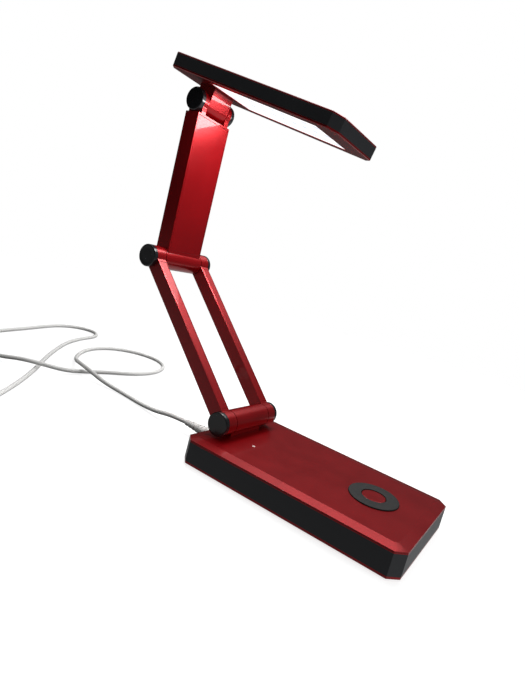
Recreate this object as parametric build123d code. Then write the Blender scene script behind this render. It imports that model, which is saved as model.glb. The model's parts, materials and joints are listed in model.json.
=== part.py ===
from build123d import *
import math
import os

# Folding, rechargeable LED desk lamp: base, two folding arms and a flat light head.
# Millimetres, +Z up. X runs from the hinge end of the base to its switch end, Y across it.
# The origin is the centre of the anti-slip pad's lower face, on the desk.

os.makedirs("parts", exist_ok=True)

# ---- driving sizes: base ---------------------------------------------------------------
BASE_LENGTH = 180.0
BASE_WIDTH = 107.0
BASE_CORNER = 7.0
BASE_HEIGHT = 20.0
PAD_PROUD = 0.8
PAD_THICKNESS = 1.6
PAD_LENGTH = 150.0
PAD_WIDTH = 84.0
PAD_CORNER = 4.0
BOTTOM_THICKNESS = 2.0
BOTTOM_CHAMFER = 0.5
WALL = 2.2
LIP_HEIGHT = 1.7
BEVEL_WIDTH = 8.0
BEVEL_DROP = 1.1
GROOVE_HEIGHT = 0.4
GROOVE_DEPTH = 0.6
GROOVE_FROM_LIP = 0.7
TONGUE_THICKNESS = 1.2
TONGUE_HEIGHT = 2.0
TONGUE_GAP = 0.15
CUT = 1.0

# ---- driving sizes: hinges -------------------------------------------------------------
HINGE_INSET = 14.0
BARREL_RADIUS = 9.5
BARREL_CLEARANCE = 1.5
PIN_RADIUS = 3.0
HEAD_PIN_RADIUS = 2.5
RUNNING_FIT = 0.05
SEAT_GAP = 0.05
CAP_THICKNESS = 3.6
CAP_GAP = 0.1
CAP_EDGE = 0.6
PIN_IN_CAP = 2.0
PIN_CHAMFER = 0.3
BARREL_SIDE_GAP = 0.6
WASHER_THICKNESS = 0.4
WASHER_RADIUS = 6.5
SADDLE_LENGTH = 9.0
SADDLE_INSET = 2.0
FLANGE_LENGTH = 20.0
FLANGE_THICKNESS = 3.0
FLANGE_SCREW_INSET = (2.8, 5.0)
FLANGE_SCREW_BITE = 1.2

# ---- driving sizes: arms ---------------------------------------------------------------
LOWER_ARM = 155.5
UPPER_ARM = 135.3
RAIL_WIDTH = 9.4
RAIL_DEPTH = 12.4
RAIL_ROUNDING = 0.5
RAIL_SPAN = 63.6
ARM_WALL = 1.6
LID_THICKNESS = 1.5
LID_GAP = 0.15
LID_EDGE = 0.9
LID_LEDGE = 1.0
LID_CHAMFER = 0.2
UPPER_WIDTH = 40.6
UPPER_DEPTH = 15.0
UPPER_EDGE = 1.3
UPPER_LEDGE = 2.0
UPPER_ROUNDING = 0.6
LID_END_GAP = 1.5
EAR_THICKNESS = 4.8
EAR_RADIUS = 9.2
HEAD_HINGE_SPAN = 42.0
HEAD_CAP_THICKNESS = 3.8
HEAD_CAP_RADIUS = 9.5
ARM_END_GAP = 1.0
WIRE_RADIUS = 0.55
WIRE_PITCH = 1.32
WIRE_INSET = 2.0

# ---- driving sizes: head ---------------------------------------------------------------
HEAD_LENGTH = 174.0
HEAD_WIDTH = 72.0
HEAD_THICKNESS = 12.0
HEAD_CORNER = 7.0
HEAD_OVERHANG = 26.5
HEAD_DROP = 14.2
HEAD_WALL = 1.6
FRAME_THICKNESS = 1.6
FRAME_CHAMFER = 0.4
TOP_THICKNESS = 1.4
TOP_CHAMFER = 0.6
BLOCK_RADIUS = 8.8
BLOCK_GAP = 0.3
BLOCK_SCREW_X = 4.5
BLOCK_SCREW_Y = 6.5
BLOCK_SCREW_HEAD = 2.2
BLOCK_SCREW_BITE = 5.0
WINDOW_START = 43.0
WINDOW_END = 152.0
WINDOW_WIDTH = 53.0
DIFFUSER_FLANGE = 2.0
DIFFUSER_THICKNESS = 2.2
DIFFUSER_RECESS = 0.4
TRAY_HEIGHT = 3.4
TRAY_WALL = 1.0
LED_BOARD_THICKNESS = 1.2
LED_SIZE = (3.5, 2.8, 0.8)
LED_COUNT_LONG = 10
LED_COUNT_WIDE = 3

# ---- driving sizes: switch, indicator, inner parts --------------------------------------
SWITCH_X = 137.0
RING_RADIUS = 19.0
RING_PROUD = 1.0
RING_SEAT = 0.6
RING_HUB = 2.6
RING_ROUNDING = 0.5
HUB_REACH = 0.8
BUTTON_RADIUS = 9.0
BUTTON_GAP = 0.3
BUTTON_RECESS = 0.4
BUTTON_TRAVEL = 0.8
BUTTON_SKIRT = 4.0
BUTTON_WALL = 1.2
BUTTON_ROUNDING = 0.4
STEM_RADIUS = 2.5
STEM_GAP = 0.2
PLUNGER_RADIUS = 1.7
PLUNGER_GAP = 0.1
PLUNGER_SEAT = 1.0
PLUNGER_SPARE = 0.3
INDICATOR_X = 39.3
INDICATOR_Y = -16.4
INDICATOR_RADIUS = 1.2
INDICATOR_PROUD = 0.15
INDICATOR_LIFT = 1.5
INDICATOR_COLLAR = (2.2, 1.2)
BOARD_THICKNESS = 1.6
BOARD_STANDOFF = 2.2
BOARD_GAP = 2.0
MAIN_BOARD = (42.0, 60.0)
MAIN_BOARD_INSET = 4.0
SWITCH_BOARD = (26.0, 26.0)
SWITCH_BOARD_INSET = 3.0
SWITCH_STANDOFF = 5.2
CHARGER_CHIP = (6.0, 5.0, 1.6)
DRIVER_CHIP = (4.0, 5.0, 1.6)
CONNECTOR = (7.0, 8.0, 5.5)
STATUS_LED = (3.0, 2.0, 1.0)
INDUCTOR = (4.5, 4.0)
CAPACITOR = (3.0, 6.5)
TACT_SIZE = (12.0, 12.0, 4.6)
CELL_RADIUS = 7.1
CELL_LENGTH = 50.5
CELL_PITCH = 14.6
CELL_COUNT = 3
CELL_START = 57.4
CELL_TIP_RADIUS = 2.6
CELL_TIP = 1.2
CRADLE_FLOOR = 0.7
CRADLE_HEIGHT = 6.0
CRADLE_SIDE = 1.2
CRADLE_END = 1.5
CRADLE_GAP = 0.1
BALLAST_LENGTH = 64.0
BALLAST_WIDTH = 80.0
BALLAST_THICKNESS = 3.6
BALLAST_START = 102.0
BALLAST_GAP = 0.3
SCREW_INSET_X = 8.0
SCREW_INSET_Y = 17.5
BOSS_RADIUS = 3.2
BOSS_GAP = 0.1
SCREW_HEAD_RADIUS = 2.6
SCREW_HEAD_HEIGHT = 1.2
SCREW_SHANK_RADIUS = 1.25
SCREW_LENGTH = 9.0
SCREW_SINK = 0.1
SCREW_HEAD_GAP = 0.2
SCREW_HOLE_GAP = 0.15
SLOT_HALF_LENGTH = 2.0
SLOT_HALF_WIDTH = 0.3
SLOT_DEPTH = 0.6

# ---- driving sizes: charging lead --------------------------------------------------------
JACK_Y = -11.0
JACK_HEIGHT = 10.0
JACK_LENGTH = 12.0
JACK_WIDTH = 9.0
JACK_HOLE = 3.6
JACK_FRONT = 2.0
JACK_GAP = 0.1
JACK_BACK = 2.0
PLUG_RADIUS = 2.75
PLUG_BORE = 1.0
PLUG_REACH = 9.5
OVERMOULD_RADIUS = 4.8
OVERMOULD_LENGTH = 11.0
OVERMOULD_ROUNDING = 0.8
RELIEF_LENGTH = 24.0
RELIEF_START_RADIUS = 4.4
RELIEF_END_RADIUS = 2.7
CORD_DIAMETER = 4.0
CORD_LIFT = 0.05
CROSSING_HEIGHT = 8.4
COIL_TURNS = 4
COIL_DIAMETER = 46.0
COIL_LAYERS = 2
COIL_CENTRE = (-240.0, -147.0)
COIL_EXIT_ANGLE = -135.0
COIL_LIFT = 0.02
COIL_ROUNDING = 0.9
TAIL_LENGTH = 30.0
TIE_WIDTH = 6.0
TIE_WALL = 2.4
TIE_TOP = 1.0
TIE_LIFT = 0.01
TIE_ROUNDING = 0.9
USB_RELIEF = 14.0
USB_BODY = (20.0, 16.0, 8.0)
USB_SHELL = (12.0, 12.0, 4.5)
USB_RELIEF_RADII = (2.6, 3.8)
USB_BODY_CORNER = 2.0
USB_SHELL_WALL = 0.4
USB_SHELL_FLOOR = 1.0
USB_TONGUE_DROP = 0.2

# ---- rest pose: direction of each arm, degrees up from +X -------------------------------
LOWER_ANGLE = 136.5
UPPER_ANGLE = 90.8
HEAD_ANGLE = -11.8

# ---- levels and places that follow from the sizes ---------------------------------------
HALF_L = BASE_LENGTH / 2
HALF_W = BASE_WIDTH / 2
BOTTOM_Z = PAD_PROUD
TOP_Z = PAD_PROUD + BASE_HEIGHT
FLOOR_Z = BOTTOM_Z + BOTTOM_THICKNESS
EDGE_Z = TOP_Z - BEVEL_DROP
LIP_Z = EDGE_Z - LIP_HEIGHT
ROOF_Z = TOP_Z - WALL
HINGE_X = -HALF_L + HINGE_INSET
HINGE_Z = TOP_Z + BARREL_CLEARANCE + BARREL_RADIUS
RAIL_INNER = RAIL_SPAN / 2 - RAIL_WIDTH
RAIL_OUTER = RAIL_SPAN / 2
BARREL_HALF = RAIL_INNER - BARREL_SIDE_GAP
EAR_OUTER = HEAD_HINGE_SPAN / 2 - HEAD_CAP_THICKNESS - CAP_GAP
EAR_INNER = EAR_OUTER - EAR_THICKNESS
BLOCK_HALF = EAR_INNER - BLOCK_GAP
SWITCH_CX = -HALF_L + SWITCH_X
LIGHT_X = -HALF_L + INDICATOR_X
CORD_RADIUS = CORD_DIAMETER / 2
CORD_Z = CORD_RADIUS + CORD_LIFT
EXIT_X = -HALF_L - OVERMOULD_LENGTH - RELIEF_LENGTH


def octagon(length, width, corner):
    """Corner points of a rectangle with cut corners, centred on the origin."""
    a = length / 2
    b = width / 2
    c = corner
    return [(a - c, -b), (a, -b + c), (a, b - c), (a - c, b),
            (-a + c, b), (-a, b - c), (-a, -b + c), (-a + c, -b)]


def inset_corner(corner, inset):
    """Corner cut of the same outline moved inwards by inset."""
    return corner - inset * (2 - math.sqrt(2))


def plate(length, width, corner, z0, z1, inset=0.0):
    """Flat plate with cut corners between two levels."""
    points = octagon(length - 2 * inset, width - 2 * inset, inset_corner(corner, inset))
    return Pos(0, 0, z0) * extrude(Polygon(*points, align=None), z1 - z0)


def ring(length, width, corner, z0, z1, wall, inset=0.0):
    """Wall that follows the cut-corner outline."""
    outer = plate(length, width, corner, z0, z1, inset)
    return outer - plate(length, width, corner, z0 - CUT, z1 + CUT, inset + wall)


def slab(x0, x1, y0, y1, z0, z1):
    """Box between two corners."""
    box = Box(x1 - x0, y1 - y0, z1 - z0, align=(Align.MIN, Align.MIN, Align.MIN))
    return Pos(x0, y0, z0) * box


def post(radius, z0, z1, x=0.0, y=0.0):
    """Upright cylinder."""
    return Pos(x, y, (z0 + z1) / 2) * Cylinder(radius, z1 - z0)


def axle(radius, y0, y1, x=0.0, z=0.0):
    """Cylinder along Y."""
    return Pos(x, (y0 + y1) / 2, z) * Rot(90, 0, 0) * Cylinder(radius, y1 - y0)


def rod(radius, x0, x1, y=0.0, z=0.0):
    """Cylinder along X."""
    return Pos((x0 + x1) / 2, y, z) * Rot(0, 90, 0) * Cylinder(radius, x1 - x0)


def both_sides(piece):
    """The piece and its mirror image across the lamp's middle plane."""
    return [piece, mirror(piece, about=Plane.XZ)]


def group(pieces):
    """Several separate solids in one node."""
    solids = []
    for piece in pieces:
        solids.extend(piece.solids())
    return Compound(children=solids)


def along(point, angle):
    """Frame of an arm: its X runs from point at angle degrees above +X."""
    return Pos(point[0], 0, point[1]) * Rot(0, -angle, 0)


def end_of(point, angle, length):
    """Point at the far end of an arm, in the X-Z plane."""
    turn = math.radians(angle)
    return (point[0] + length * math.cos(turn), point[1] + length * math.sin(turn))


BASE_HINGE = (HINGE_X, HINGE_Z)
ELBOW = end_of(BASE_HINGE, LOWER_ANGLE, LOWER_ARM)
HEAD_HINGE = end_of(ELBOW, UPPER_ANGLE, UPPER_ARM)
AT_BASE_HINGE = along(BASE_HINGE, LOWER_ANGLE)
AT_ELBOW = along(ELBOW, UPPER_ANGLE)
AT_HEAD = along(HEAD_HINGE, HEAD_ANGLE)

SCREW_PLACES = [(sx * (HALF_L - SCREW_INSET_X), sy * (HALF_W - SCREW_INSET_Y))
                for sx in (-1, 1) for sy in (-1, 1)]
FLANGE_SCREWS = [(HINGE_X + sx * (FLANGE_LENGTH / 2 - FLANGE_SCREW_INSET[0]),
                  sy * (BARREL_HALF - FLANGE_SCREW_INSET[1]))
                 for sx in (-1, 1) for sy in (-1, 1)]
BOARD_X0 = -HALF_L + WALL + BOARD_GAP
BOARD_MID = BOARD_X0 + MAIN_BOARD[0] / 2


def corners(middle, size, inset):
    """Hole places of a board centred on (middle, 0)."""
    return [(middle + sx * (size[0] / 2 - inset), sy * (size[1] / 2 - inset))
            for sx in (-1, 1) for sy in (-1, 1)]


MAIN_BOARD_POSTS = corners(BOARD_MID, MAIN_BOARD, MAIN_BOARD_INSET)
SWITCH_BOARD_POSTS = corners(SWITCH_CX, SWITCH_BOARD, SWITCH_BOARD_INSET)


# ---- base housing ------------------------------------------------------------------------
def base_bottom_cover():
    body = plate(BASE_LENGTH, BASE_WIDTH, BASE_CORNER, BOTTOM_Z, FLOOR_Z)
    body = chamfer(body.faces().sort_by(Axis.Z)[0].edges(), BOTTOM_CHAMFER)
    body += ring(BASE_LENGTH, BASE_WIDTH, BASE_CORNER, FLOOR_Z, FLOOR_Z + TONGUE_HEIGHT,
                 TONGUE_THICKNESS, WALL + TONGUE_GAP)
    body -= slab(-PAD_LENGTH / 2, PAD_LENGTH / 2, -PAD_WIDTH / 2, PAD_WIDTH / 2, 0, PAD_THICKNESS)
    for x, y in SCREW_PLACES:
        body -= post(SCREW_HEAD_RADIUS + SCREW_HEAD_GAP, 0, BOTTOM_Z + SCREW_HEAD_HEIGHT, x, y)
        body -= post(SCREW_SHANK_RADIUS + SCREW_HOLE_GAP, 0, FLOOR_Z + CUT, x, y)
    for x, y in MAIN_BOARD_POSTS:
        body += post(STEM_RADIUS, FLOOR_Z, FLOOR_Z + BOARD_STANDOFF, x, y)
    for x, y in SWITCH_BOARD_POSTS:
        body += post(STEM_RADIUS, FLOOR_Z, FLOOR_Z + SWITCH_STANDOFF, x, y)
    return body


def base_side_band():
    body = ring(BASE_LENGTH, BASE_WIDTH, BASE_CORNER, FLOOR_Z, LIP_Z, WALL)
    return body - rod(JACK_HOLE, -HALF_L - CUT, -HALF_L + WALL + CUT, JACK_Y, JACK_HEIGHT)


def base_top_cover():
    low = Polygon(*octagon(BASE_LENGTH, BASE_WIDTH, BASE_CORNER), align=None)
    inner = octagon(BASE_LENGTH - 2 * BEVEL_WIDTH, BASE_WIDTH - 2 * BEVEL_WIDTH,
                    inset_corner(BASE_CORNER, BEVEL_WIDTH))
    high = Polygon(*inner, align=None)
    crown = loft([Pos(0, 0, EDGE_Z) * low, Pos(0, 0, TOP_Z) * high], ruled=True)
    body = plate(BASE_LENGTH, BASE_WIDTH, BASE_CORNER, LIP_Z, EDGE_Z) + crown
    groove_z = LIP_Z + GROOVE_FROM_LIP
    body -= ring(BASE_LENGTH + 2 * CUT, BASE_WIDTH + 2 * CUT, BASE_CORNER, groove_z,
                 groove_z + GROOVE_HEIGHT, GROOVE_DEPTH + CUT)
    body -= plate(BASE_LENGTH, BASE_WIDTH, BASE_CORNER, LIP_Z - CUT, ROOF_Z, WALL)
    body += ring(BASE_LENGTH, BASE_WIDTH, BASE_CORNER, LIP_Z - TONGUE_HEIGHT, ROOF_Z,
                 TONGUE_THICKNESS, WALL + TONGUE_GAP)
    body += ring(BASE_LENGTH, BASE_WIDTH, BASE_CORNER, LIP_Z, ROOF_Z, 2 * TONGUE_GAP, WALL - TONGUE_GAP)
    for x, y in SCREW_PLACES:
        body += post(BOSS_RADIUS, FLOOR_Z + BOSS_GAP, ROOF_Z, x, y)
        body -= post(SCREW_SHANK_RADIUS + SEAT_GAP, 0, BOTTOM_Z + SCREW_LENGTH + CUT, x, y)
    body -= slab(HINGE_X - SADDLE_LENGTH / 2 - SEAT_GAP, HINGE_X + SADDLE_LENGTH / 2 + SEAT_GAP,
                 -BARREL_HALF + SADDLE_INSET - SEAT_GAP, BARREL_HALF - SADDLE_INSET + SEAT_GAP,
                 ROOF_Z - CUT, TOP_Z + CUT)
    bite_z = ROOF_Z + FLANGE_SCREW_BITE + SCREW_SINK
    for x, y in FLANGE_SCREWS:
        body -= post(SCREW_SHANK_RADIUS + SEAT_GAP, ROOF_Z - CUT, bite_z, x, y)
    body -= post(RING_RADIUS + SEAT_GAP, TOP_Z - RING_SEAT, TOP_Z + CUT, SWITCH_CX)
    body -= post(BUTTON_RADIUS + BUTTON_GAP + RING_HUB + SEAT_GAP, ROOF_Z - CUT, TOP_Z, SWITCH_CX)
    body -= post(INDICATOR_RADIUS + SEAT_GAP, ROOF_Z - CUT, TOP_Z + CUT, LIGHT_X, INDICATOR_Y)
    return body


def anti_slip_pad():
    half_l = PAD_LENGTH / 2 - SEAT_GAP
    half_w = PAD_WIDTH / 2 - SEAT_GAP
    pad = slab(-half_l, half_l, -half_w, half_w, 0, PAD_THICKNESS)
    return fillet(pad.edges().filter_by(Axis.Z), PAD_CORNER)


def base_screws():
    screws = []
    for x, y in SCREW_PLACES:
        low = BOTTOM_Z + SCREW_SINK
        head = post(SCREW_HEAD_RADIUS, low, BOTTOM_Z + SCREW_HEAD_HEIGHT, x, y)
        for a, b in ((SLOT_HALF_LENGTH, SLOT_HALF_WIDTH), (SLOT_HALF_WIDTH, SLOT_HALF_LENGTH)):
            head -= slab(x - a, x + a, y - b, y + b, 0, low + SLOT_DEPTH)
        screws.append(head + post(SCREW_SHANK_RADIUS, low + SLOT_DEPTH, BOTTOM_Z + SCREW_LENGTH, x, y))
    return group(screws)


# ---- base hinge --------------------------------------------------------------------------
def base_hinge_barrel():
    body = axle(BARREL_RADIUS, -BARREL_HALF, BARREL_HALF, HINGE_X, HINGE_Z)
    saddle = BARREL_HALF - SADDLE_INSET
    body += slab(HINGE_X - SADDLE_LENGTH / 2, HINGE_X + SADDLE_LENGTH / 2, -saddle, saddle,
                 ROOF_Z, HINGE_Z)
    body += slab(HINGE_X - FLANGE_LENGTH / 2, HINGE_X + FLANGE_LENGTH / 2,
                 -BARREL_HALF, BARREL_HALF, ROOF_Z - FLANGE_THICKNESS, ROOF_Z)
    body -= axle(PIN_RADIUS + RUNNING_FIT, -BARREL_HALF - CUT, BARREL_HALF + CUT, HINGE_X, HINGE_Z)
    for x, y in FLANGE_SCREWS:
        body -= post(SCREW_SHANK_RADIUS + SEAT_GAP, ROOF_Z - FLANGE_THICKNESS - CUT, ROOF_Z + CUT, x, y)
    return body


def hinge_bracket_screws():
    screws = []
    under = ROOF_Z - FLANGE_THICKNESS
    for x, y in FLANGE_SCREWS:
        head = post(SCREW_HEAD_RADIUS, under - SCREW_HEAD_HEIGHT, under, x, y)
        screws.append(head + post(SCREW_SHANK_RADIUS, under, ROOF_Z + FLANGE_SCREW_BITE, x, y))
    return group(screws)


def cap(radius, thickness, pin_radius):
    """Round end cap, its inner face at Y = 0, with a blind hole for its pin."""
    body = axle(radius, 0, thickness)
    body = fillet(body.faces().sort_by(Axis.Y)[-1].edges(), CAP_EDGE)
    return body - axle(pin_radius + SEAT_GAP, -CUT, PIN_IN_CAP)


def hinge_pin(radius, half):
    return chamfer(axle(radius, -half, half).edges().filter_by(GeomType.CIRCLE), PIN_CHAMFER)


def base_hinge_pin():
    return Pos(HINGE_X, 0, HINGE_Z) * hinge_pin(PIN_RADIUS, RAIL_OUTER + CAP_GAP + PIN_IN_CAP)


def base_hinge_caps():
    piece = Pos(0, RAIL_OUTER + CAP_GAP, 0) * cap(BARREL_RADIUS, CAP_THICKNESS, PIN_RADIUS)
    return Pos(HINGE_X, 0, HINGE_Z) * group(both_sides(piece))


def washer_pair():
    """Two friction washers between the rails and a barrel."""
    centre = RAIL_INNER - BARREL_SIDE_GAP / 2
    disc = axle(WASHER_RADIUS, centre - WASHER_THICKNESS / 2, centre + WASHER_THICKNESS / 2)
    disc -= axle(PIN_RADIUS + RUNNING_FIT, 0, RAIL_OUTER)
    return group(both_sides(disc))


# ---- lower arm -----------------------------------------------------------------------------
def rail_channel(inner, outer):
    body = slab(0, LOWER_ARM, inner, outer, -RAIL_DEPTH / 2, RAIL_DEPTH / 2)
    body = fillet(body.edges().filter_by(Axis.X), RAIL_ROUNDING)
    for x in (0, LOWER_ARM):
        body += axle(BARREL_RADIUS, inner, outer, x)
    start = BARREL_RADIUS + ARM_END_GAP
    body -= slab(start, LOWER_ARM - start, inner + ARM_WALL, outer - ARM_WALL,
                 -RAIL_DEPTH, RAIL_DEPTH / 2 - ARM_WALL)
    body -= slab(start - LID_LEDGE, LOWER_ARM - start + LID_LEDGE, inner + LID_EDGE, outer - LID_EDGE,
                 -RAIL_DEPTH, -RAIL_DEPTH / 2 + LID_THICKNESS)
    body -= axle(PIN_RADIUS + RUNNING_FIT, inner - CUT, outer + CUT)
    body -= axle(PIN_RADIUS + SEAT_GAP, inner - CUT, outer + CUT, LOWER_ARM)
    return body


def rail_lid(inner, outer):
    start = BARREL_RADIUS + ARM_END_GAP - LID_LEDGE + LID_GAP
    lid = slab(start, LOWER_ARM - start, inner + LID_EDGE + LID_GAP, outer - LID_EDGE - LID_GAP,
               -RAIL_DEPTH / 2, -RAIL_DEPTH / 2 + LID_THICKNESS)
    return chamfer(lid.faces().sort_by(Axis.Z)[0].edges(), LID_CHAMFER)


def wire_pair(x0, x1, y, z):
    """Two thin leads side by side along X."""
    return group([rod(WIRE_RADIUS, x0, x1, y + side * WIRE_PITCH / 2, z) for side in (-1, 1)])


def rail_wires():
    start = BARREL_RADIUS + ARM_END_GAP + WIRE_INSET
    return wire_pair(start, LOWER_ARM - start, -(RAIL_INNER + RAIL_OUTER) / 2,
                     RAIL_DEPTH / 2 - ARM_WALL - WIRE_RADIUS)


def elbow_caps():
    piece = Pos(0, RAIL_OUTER, 0) * cap(BARREL_RADIUS, CAP_THICKNESS, PIN_RADIUS)
    return group(both_sides(piece))


# ---- upper arm -----------------------------------------------------------------------------
BOX_END = UPPER_ARM - HEAD_CAP_RADIUS - ARM_END_GAP
LID_START = BARREL_RADIUS - LID_LEDGE
LID_END = BOX_END - LID_END_GAP


def upper_arm_channel():
    half = UPPER_WIDTH / 2
    body = slab(0, BOX_END, -half, half, -UPPER_DEPTH / 2, UPPER_DEPTH / 2)
    body = fillet(body.edges().filter_by(Axis.X), UPPER_ROUNDING)
    body -= slab(LID_START, LID_END, -half + UPPER_EDGE, half - UPPER_EDGE,
                 -UPPER_DEPTH, -UPPER_DEPTH / 2 + LID_THICKNESS)
    side_y = half - UPPER_EDGE - ARM_WALL
    body -= slab(LID_START + UPPER_LEDGE, LID_END - UPPER_LEDGE, -side_y, side_y,
                 -UPPER_DEPTH, UPPER_DEPTH / 2 - ARM_WALL)
    body += axle(BARREL_RADIUS, -BARREL_HALF, BARREL_HALF)
    ear = slab(BOX_END - CUT, UPPER_ARM, EAR_INNER, EAR_OUTER, -UPPER_DEPTH / 2, UPPER_DEPTH / 2)
    ear += axle(EAR_RADIUS, EAR_INNER, EAR_OUTER, UPPER_ARM)
    for side in both_sides(ear):
        body += side
    body -= axle(PIN_RADIUS + RUNNING_FIT, -BARREL_HALF - CUT, BARREL_HALF + CUT)
    body -= axle(HEAD_PIN_RADIUS + RUNNING_FIT, -EAR_OUTER - CUT, EAR_OUTER + CUT, UPPER_ARM)
    return body


def upper_arm_lid():
    half = UPPER_WIDTH / 2 - UPPER_EDGE - LID_GAP
    lid = slab(LID_START, LID_END - LID_GAP, -half, half, -UPPER_DEPTH / 2,
               -UPPER_DEPTH / 2 + LID_THICKNESS)
    lid = chamfer(lid.faces().sort_by(Axis.Z)[0].edges(), LID_CHAMFER)
    return lid - axle(BARREL_RADIUS + SEAT_GAP, -half - CUT, half + CUT)


def upper_arm_wires():
    inset = UPPER_LEDGE + WIRE_INSET
    return wire_pair(LID_START + inset, LID_END - inset, 0, UPPER_DEPTH / 2 - ARM_WALL - WIRE_RADIUS)


# ---- head hinge and head ---------------------------------------------------------------------
def head_hinge_pin():
    return hinge_pin(HEAD_PIN_RADIUS, EAR_OUTER + CAP_GAP + PIN_IN_CAP)


def head_hinge_caps():
    piece = cap(HEAD_CAP_RADIUS, HEAD_CAP_THICKNESS, HEAD_PIN_RADIUS)
    return group(both_sides(Pos(0, EAR_OUTER + CAP_GAP, 0) * piece))


HEAD_MID = HEAD_LENGTH / 2 - HEAD_OVERHANG
HEAD_TOP = HEAD_DROP + HEAD_THICKNESS
FRAME_TOP = HEAD_DROP + FRAME_THICKNESS
WINDOW_X0 = WINDOW_START - HEAD_OVERHANG
WINDOW_X1 = WINDOW_END - HEAD_OVERHANG
WINDOW_LENGTH = WINDOW_END - WINDOW_START
WINDOW_MID = (WINDOW_X0 + WINDOW_X1) / 2
BLOCK_SCREWS = [(sx * BLOCK_SCREW_X, sy * BLOCK_SCREW_Y) for sx in (-1, 1) for sy in (-1, 1)]
TRAY_Z = HEAD_DROP + DIFFUSER_RECESS + DIFFUSER_THICKNESS
LED_BOARD_Z = TRAY_Z + TRAY_HEIGHT


def window_block(z0, z1, grow=0.0):
    """Upright block over the light window, grown sideways."""
    half = WINDOW_WIDTH / 2 + grow
    return slab(WINDOW_X0 - grow, WINDOW_X1 + grow, -half, half, z0, z1)


def head_hinge_block():
    body = axle(BLOCK_RADIUS, -BLOCK_HALF, BLOCK_HALF)
    body += slab(-BLOCK_RADIUS, BLOCK_RADIUS, -BLOCK_HALF, BLOCK_HALF, 0, HEAD_DROP)
    body -= axle(HEAD_PIN_RADIUS + RUNNING_FIT, -BLOCK_HALF - CUT, BLOCK_HALF + CUT)
    for x, y in BLOCK_SCREWS:
        body -= post(SCREW_SHANK_RADIUS + SEAT_GAP, HEAD_DROP - BLOCK_SCREW_BITE - CUT, HEAD_DROP + CUT, x, y)
    return body


def hinge_block_screws():
    screws = []
    for x, y in BLOCK_SCREWS:
        head = post(BLOCK_SCREW_HEAD, FRAME_TOP, FRAME_TOP + SCREW_HEAD_HEIGHT, x, y)
        screws.append(head + post(SCREW_SHANK_RADIUS, HEAD_DROP - BLOCK_SCREW_BITE, FRAME_TOP, x, y))
    return group(screws)


def head_bottom_frame():
    body = Pos(HEAD_MID, 0, 0) * plate(HEAD_LENGTH, HEAD_WIDTH, HEAD_CORNER, HEAD_DROP, FRAME_TOP)
    body = chamfer(body.faces().sort_by(Axis.Z)[0].edges(), FRAME_CHAMFER)
    body -= window_block(HEAD_DROP - CUT, FRAME_TOP + CUT, LID_GAP)
    for x, y in BLOCK_SCREWS:
        body -= post(SCREW_SHANK_RADIUS + SEAT_GAP, HEAD_DROP - CUT, FRAME_TOP + CUT, x, y)
    return body


def head_side_band():
    band = ring(HEAD_LENGTH, HEAD_WIDTH, HEAD_CORNER, FRAME_TOP, HEAD_TOP - TOP_THICKNESS, HEAD_WALL)
    return Pos(HEAD_MID, 0, 0) * band


def head_top_cover():
    body = plate(HEAD_LENGTH, HEAD_WIDTH, HEAD_CORNER, HEAD_TOP - TOP_THICKNESS, HEAD_TOP)
    body = chamfer(body.faces().sort_by(Axis.Z)[-1].edges(), TOP_CHAMFER)
    body += ring(HEAD_LENGTH, HEAD_WIDTH, HEAD_CORNER, HEAD_TOP - TOP_THICKNESS - TONGUE_HEIGHT,
                 HEAD_TOP - TOP_THICKNESS, TONGUE_THICKNESS, HEAD_WALL + TONGUE_GAP)
    return Pos(HEAD_MID, 0, 0) * body


def light_diffuser():
    face = window_block(HEAD_DROP + DIFFUSER_RECESS, FRAME_TOP)
    return face + window_block(FRAME_TOP, TRAY_Z, DIFFUSER_FLANGE)


def reflector_tray():
    outer = window_block(TRAY_Z, LED_BOARD_Z, DIFFUSER_FLANGE)
    return outer - window_block(TRAY_Z - CUT, LED_BOARD_Z + CUT, DIFFUSER_FLANGE - TRAY_WALL)


def led_board():
    return window_block(LED_BOARD_Z, LED_BOARD_Z + LED_BOARD_THICKNESS, DIFFUSER_FLANGE)


def led_chips():
    chips = []
    step_x = WINDOW_LENGTH / LED_COUNT_LONG
    step_y = WINDOW_WIDTH / LED_COUNT_WIDE
    for i in range(LED_COUNT_LONG):
        for j in range(LED_COUNT_WIDE):
            x = WINDOW_X0 + (i + 0.5) * step_x
            y = -WINDOW_WIDTH / 2 + (j + 0.5) * step_y
            chips.append(slab(x - LED_SIZE[0] / 2, x + LED_SIZE[0] / 2, y - LED_SIZE[1] / 2,
                              y + LED_SIZE[1] / 2, LED_BOARD_Z - LED_SIZE[2], LED_BOARD_Z))
    return group(chips)


def head_wires():
    """Pair of leads that runs inside the head from the hinge block to the light board."""
    return wire_pair(BLOCK_RADIUS, WINDOW_MID, WINDOW_WIDTH / 2 + DIFFUSER_FLANGE + WIRE_INSET,
                     FRAME_TOP + WIRE_RADIUS)


# ---- switch, indicator and inner parts of the base -----------------------------------------
HUB_OUTER = BUTTON_RADIUS + BUTTON_GAP + RING_HUB
HUB_INNER = BUTTON_RADIUS + BUTTON_GAP
BUTTON_TOP = TOP_Z + RING_PROUD - BUTTON_RECESS
TACT_Z = FLOOR_Z + SWITCH_STANDOFF + BOARD_THICKNESS
TACT_TOP = TACT_Z + TACT_SIZE[2]
STEM_END = TACT_TOP + BUTTON_TRAVEL + STEM_GAP
PLUNGER_Z = TACT_TOP - PLUNGER_SEAT


def switch_bezel():
    pad = post(RING_RADIUS, TOP_Z - RING_SEAT, TOP_Z + RING_PROUD, SWITCH_CX)
    pad = fillet(pad.faces().sort_by(Axis.Z)[-1].edges(), RING_ROUNDING)
    body = pad + post(HUB_OUTER, ROOF_Z - HUB_REACH, TOP_Z - RING_SEAT, SWITCH_CX)
    return body - post(HUB_INNER, ROOF_Z - HUB_REACH - CUT, TOP_Z + RING_PROUD + CUT, SWITCH_CX)


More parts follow.
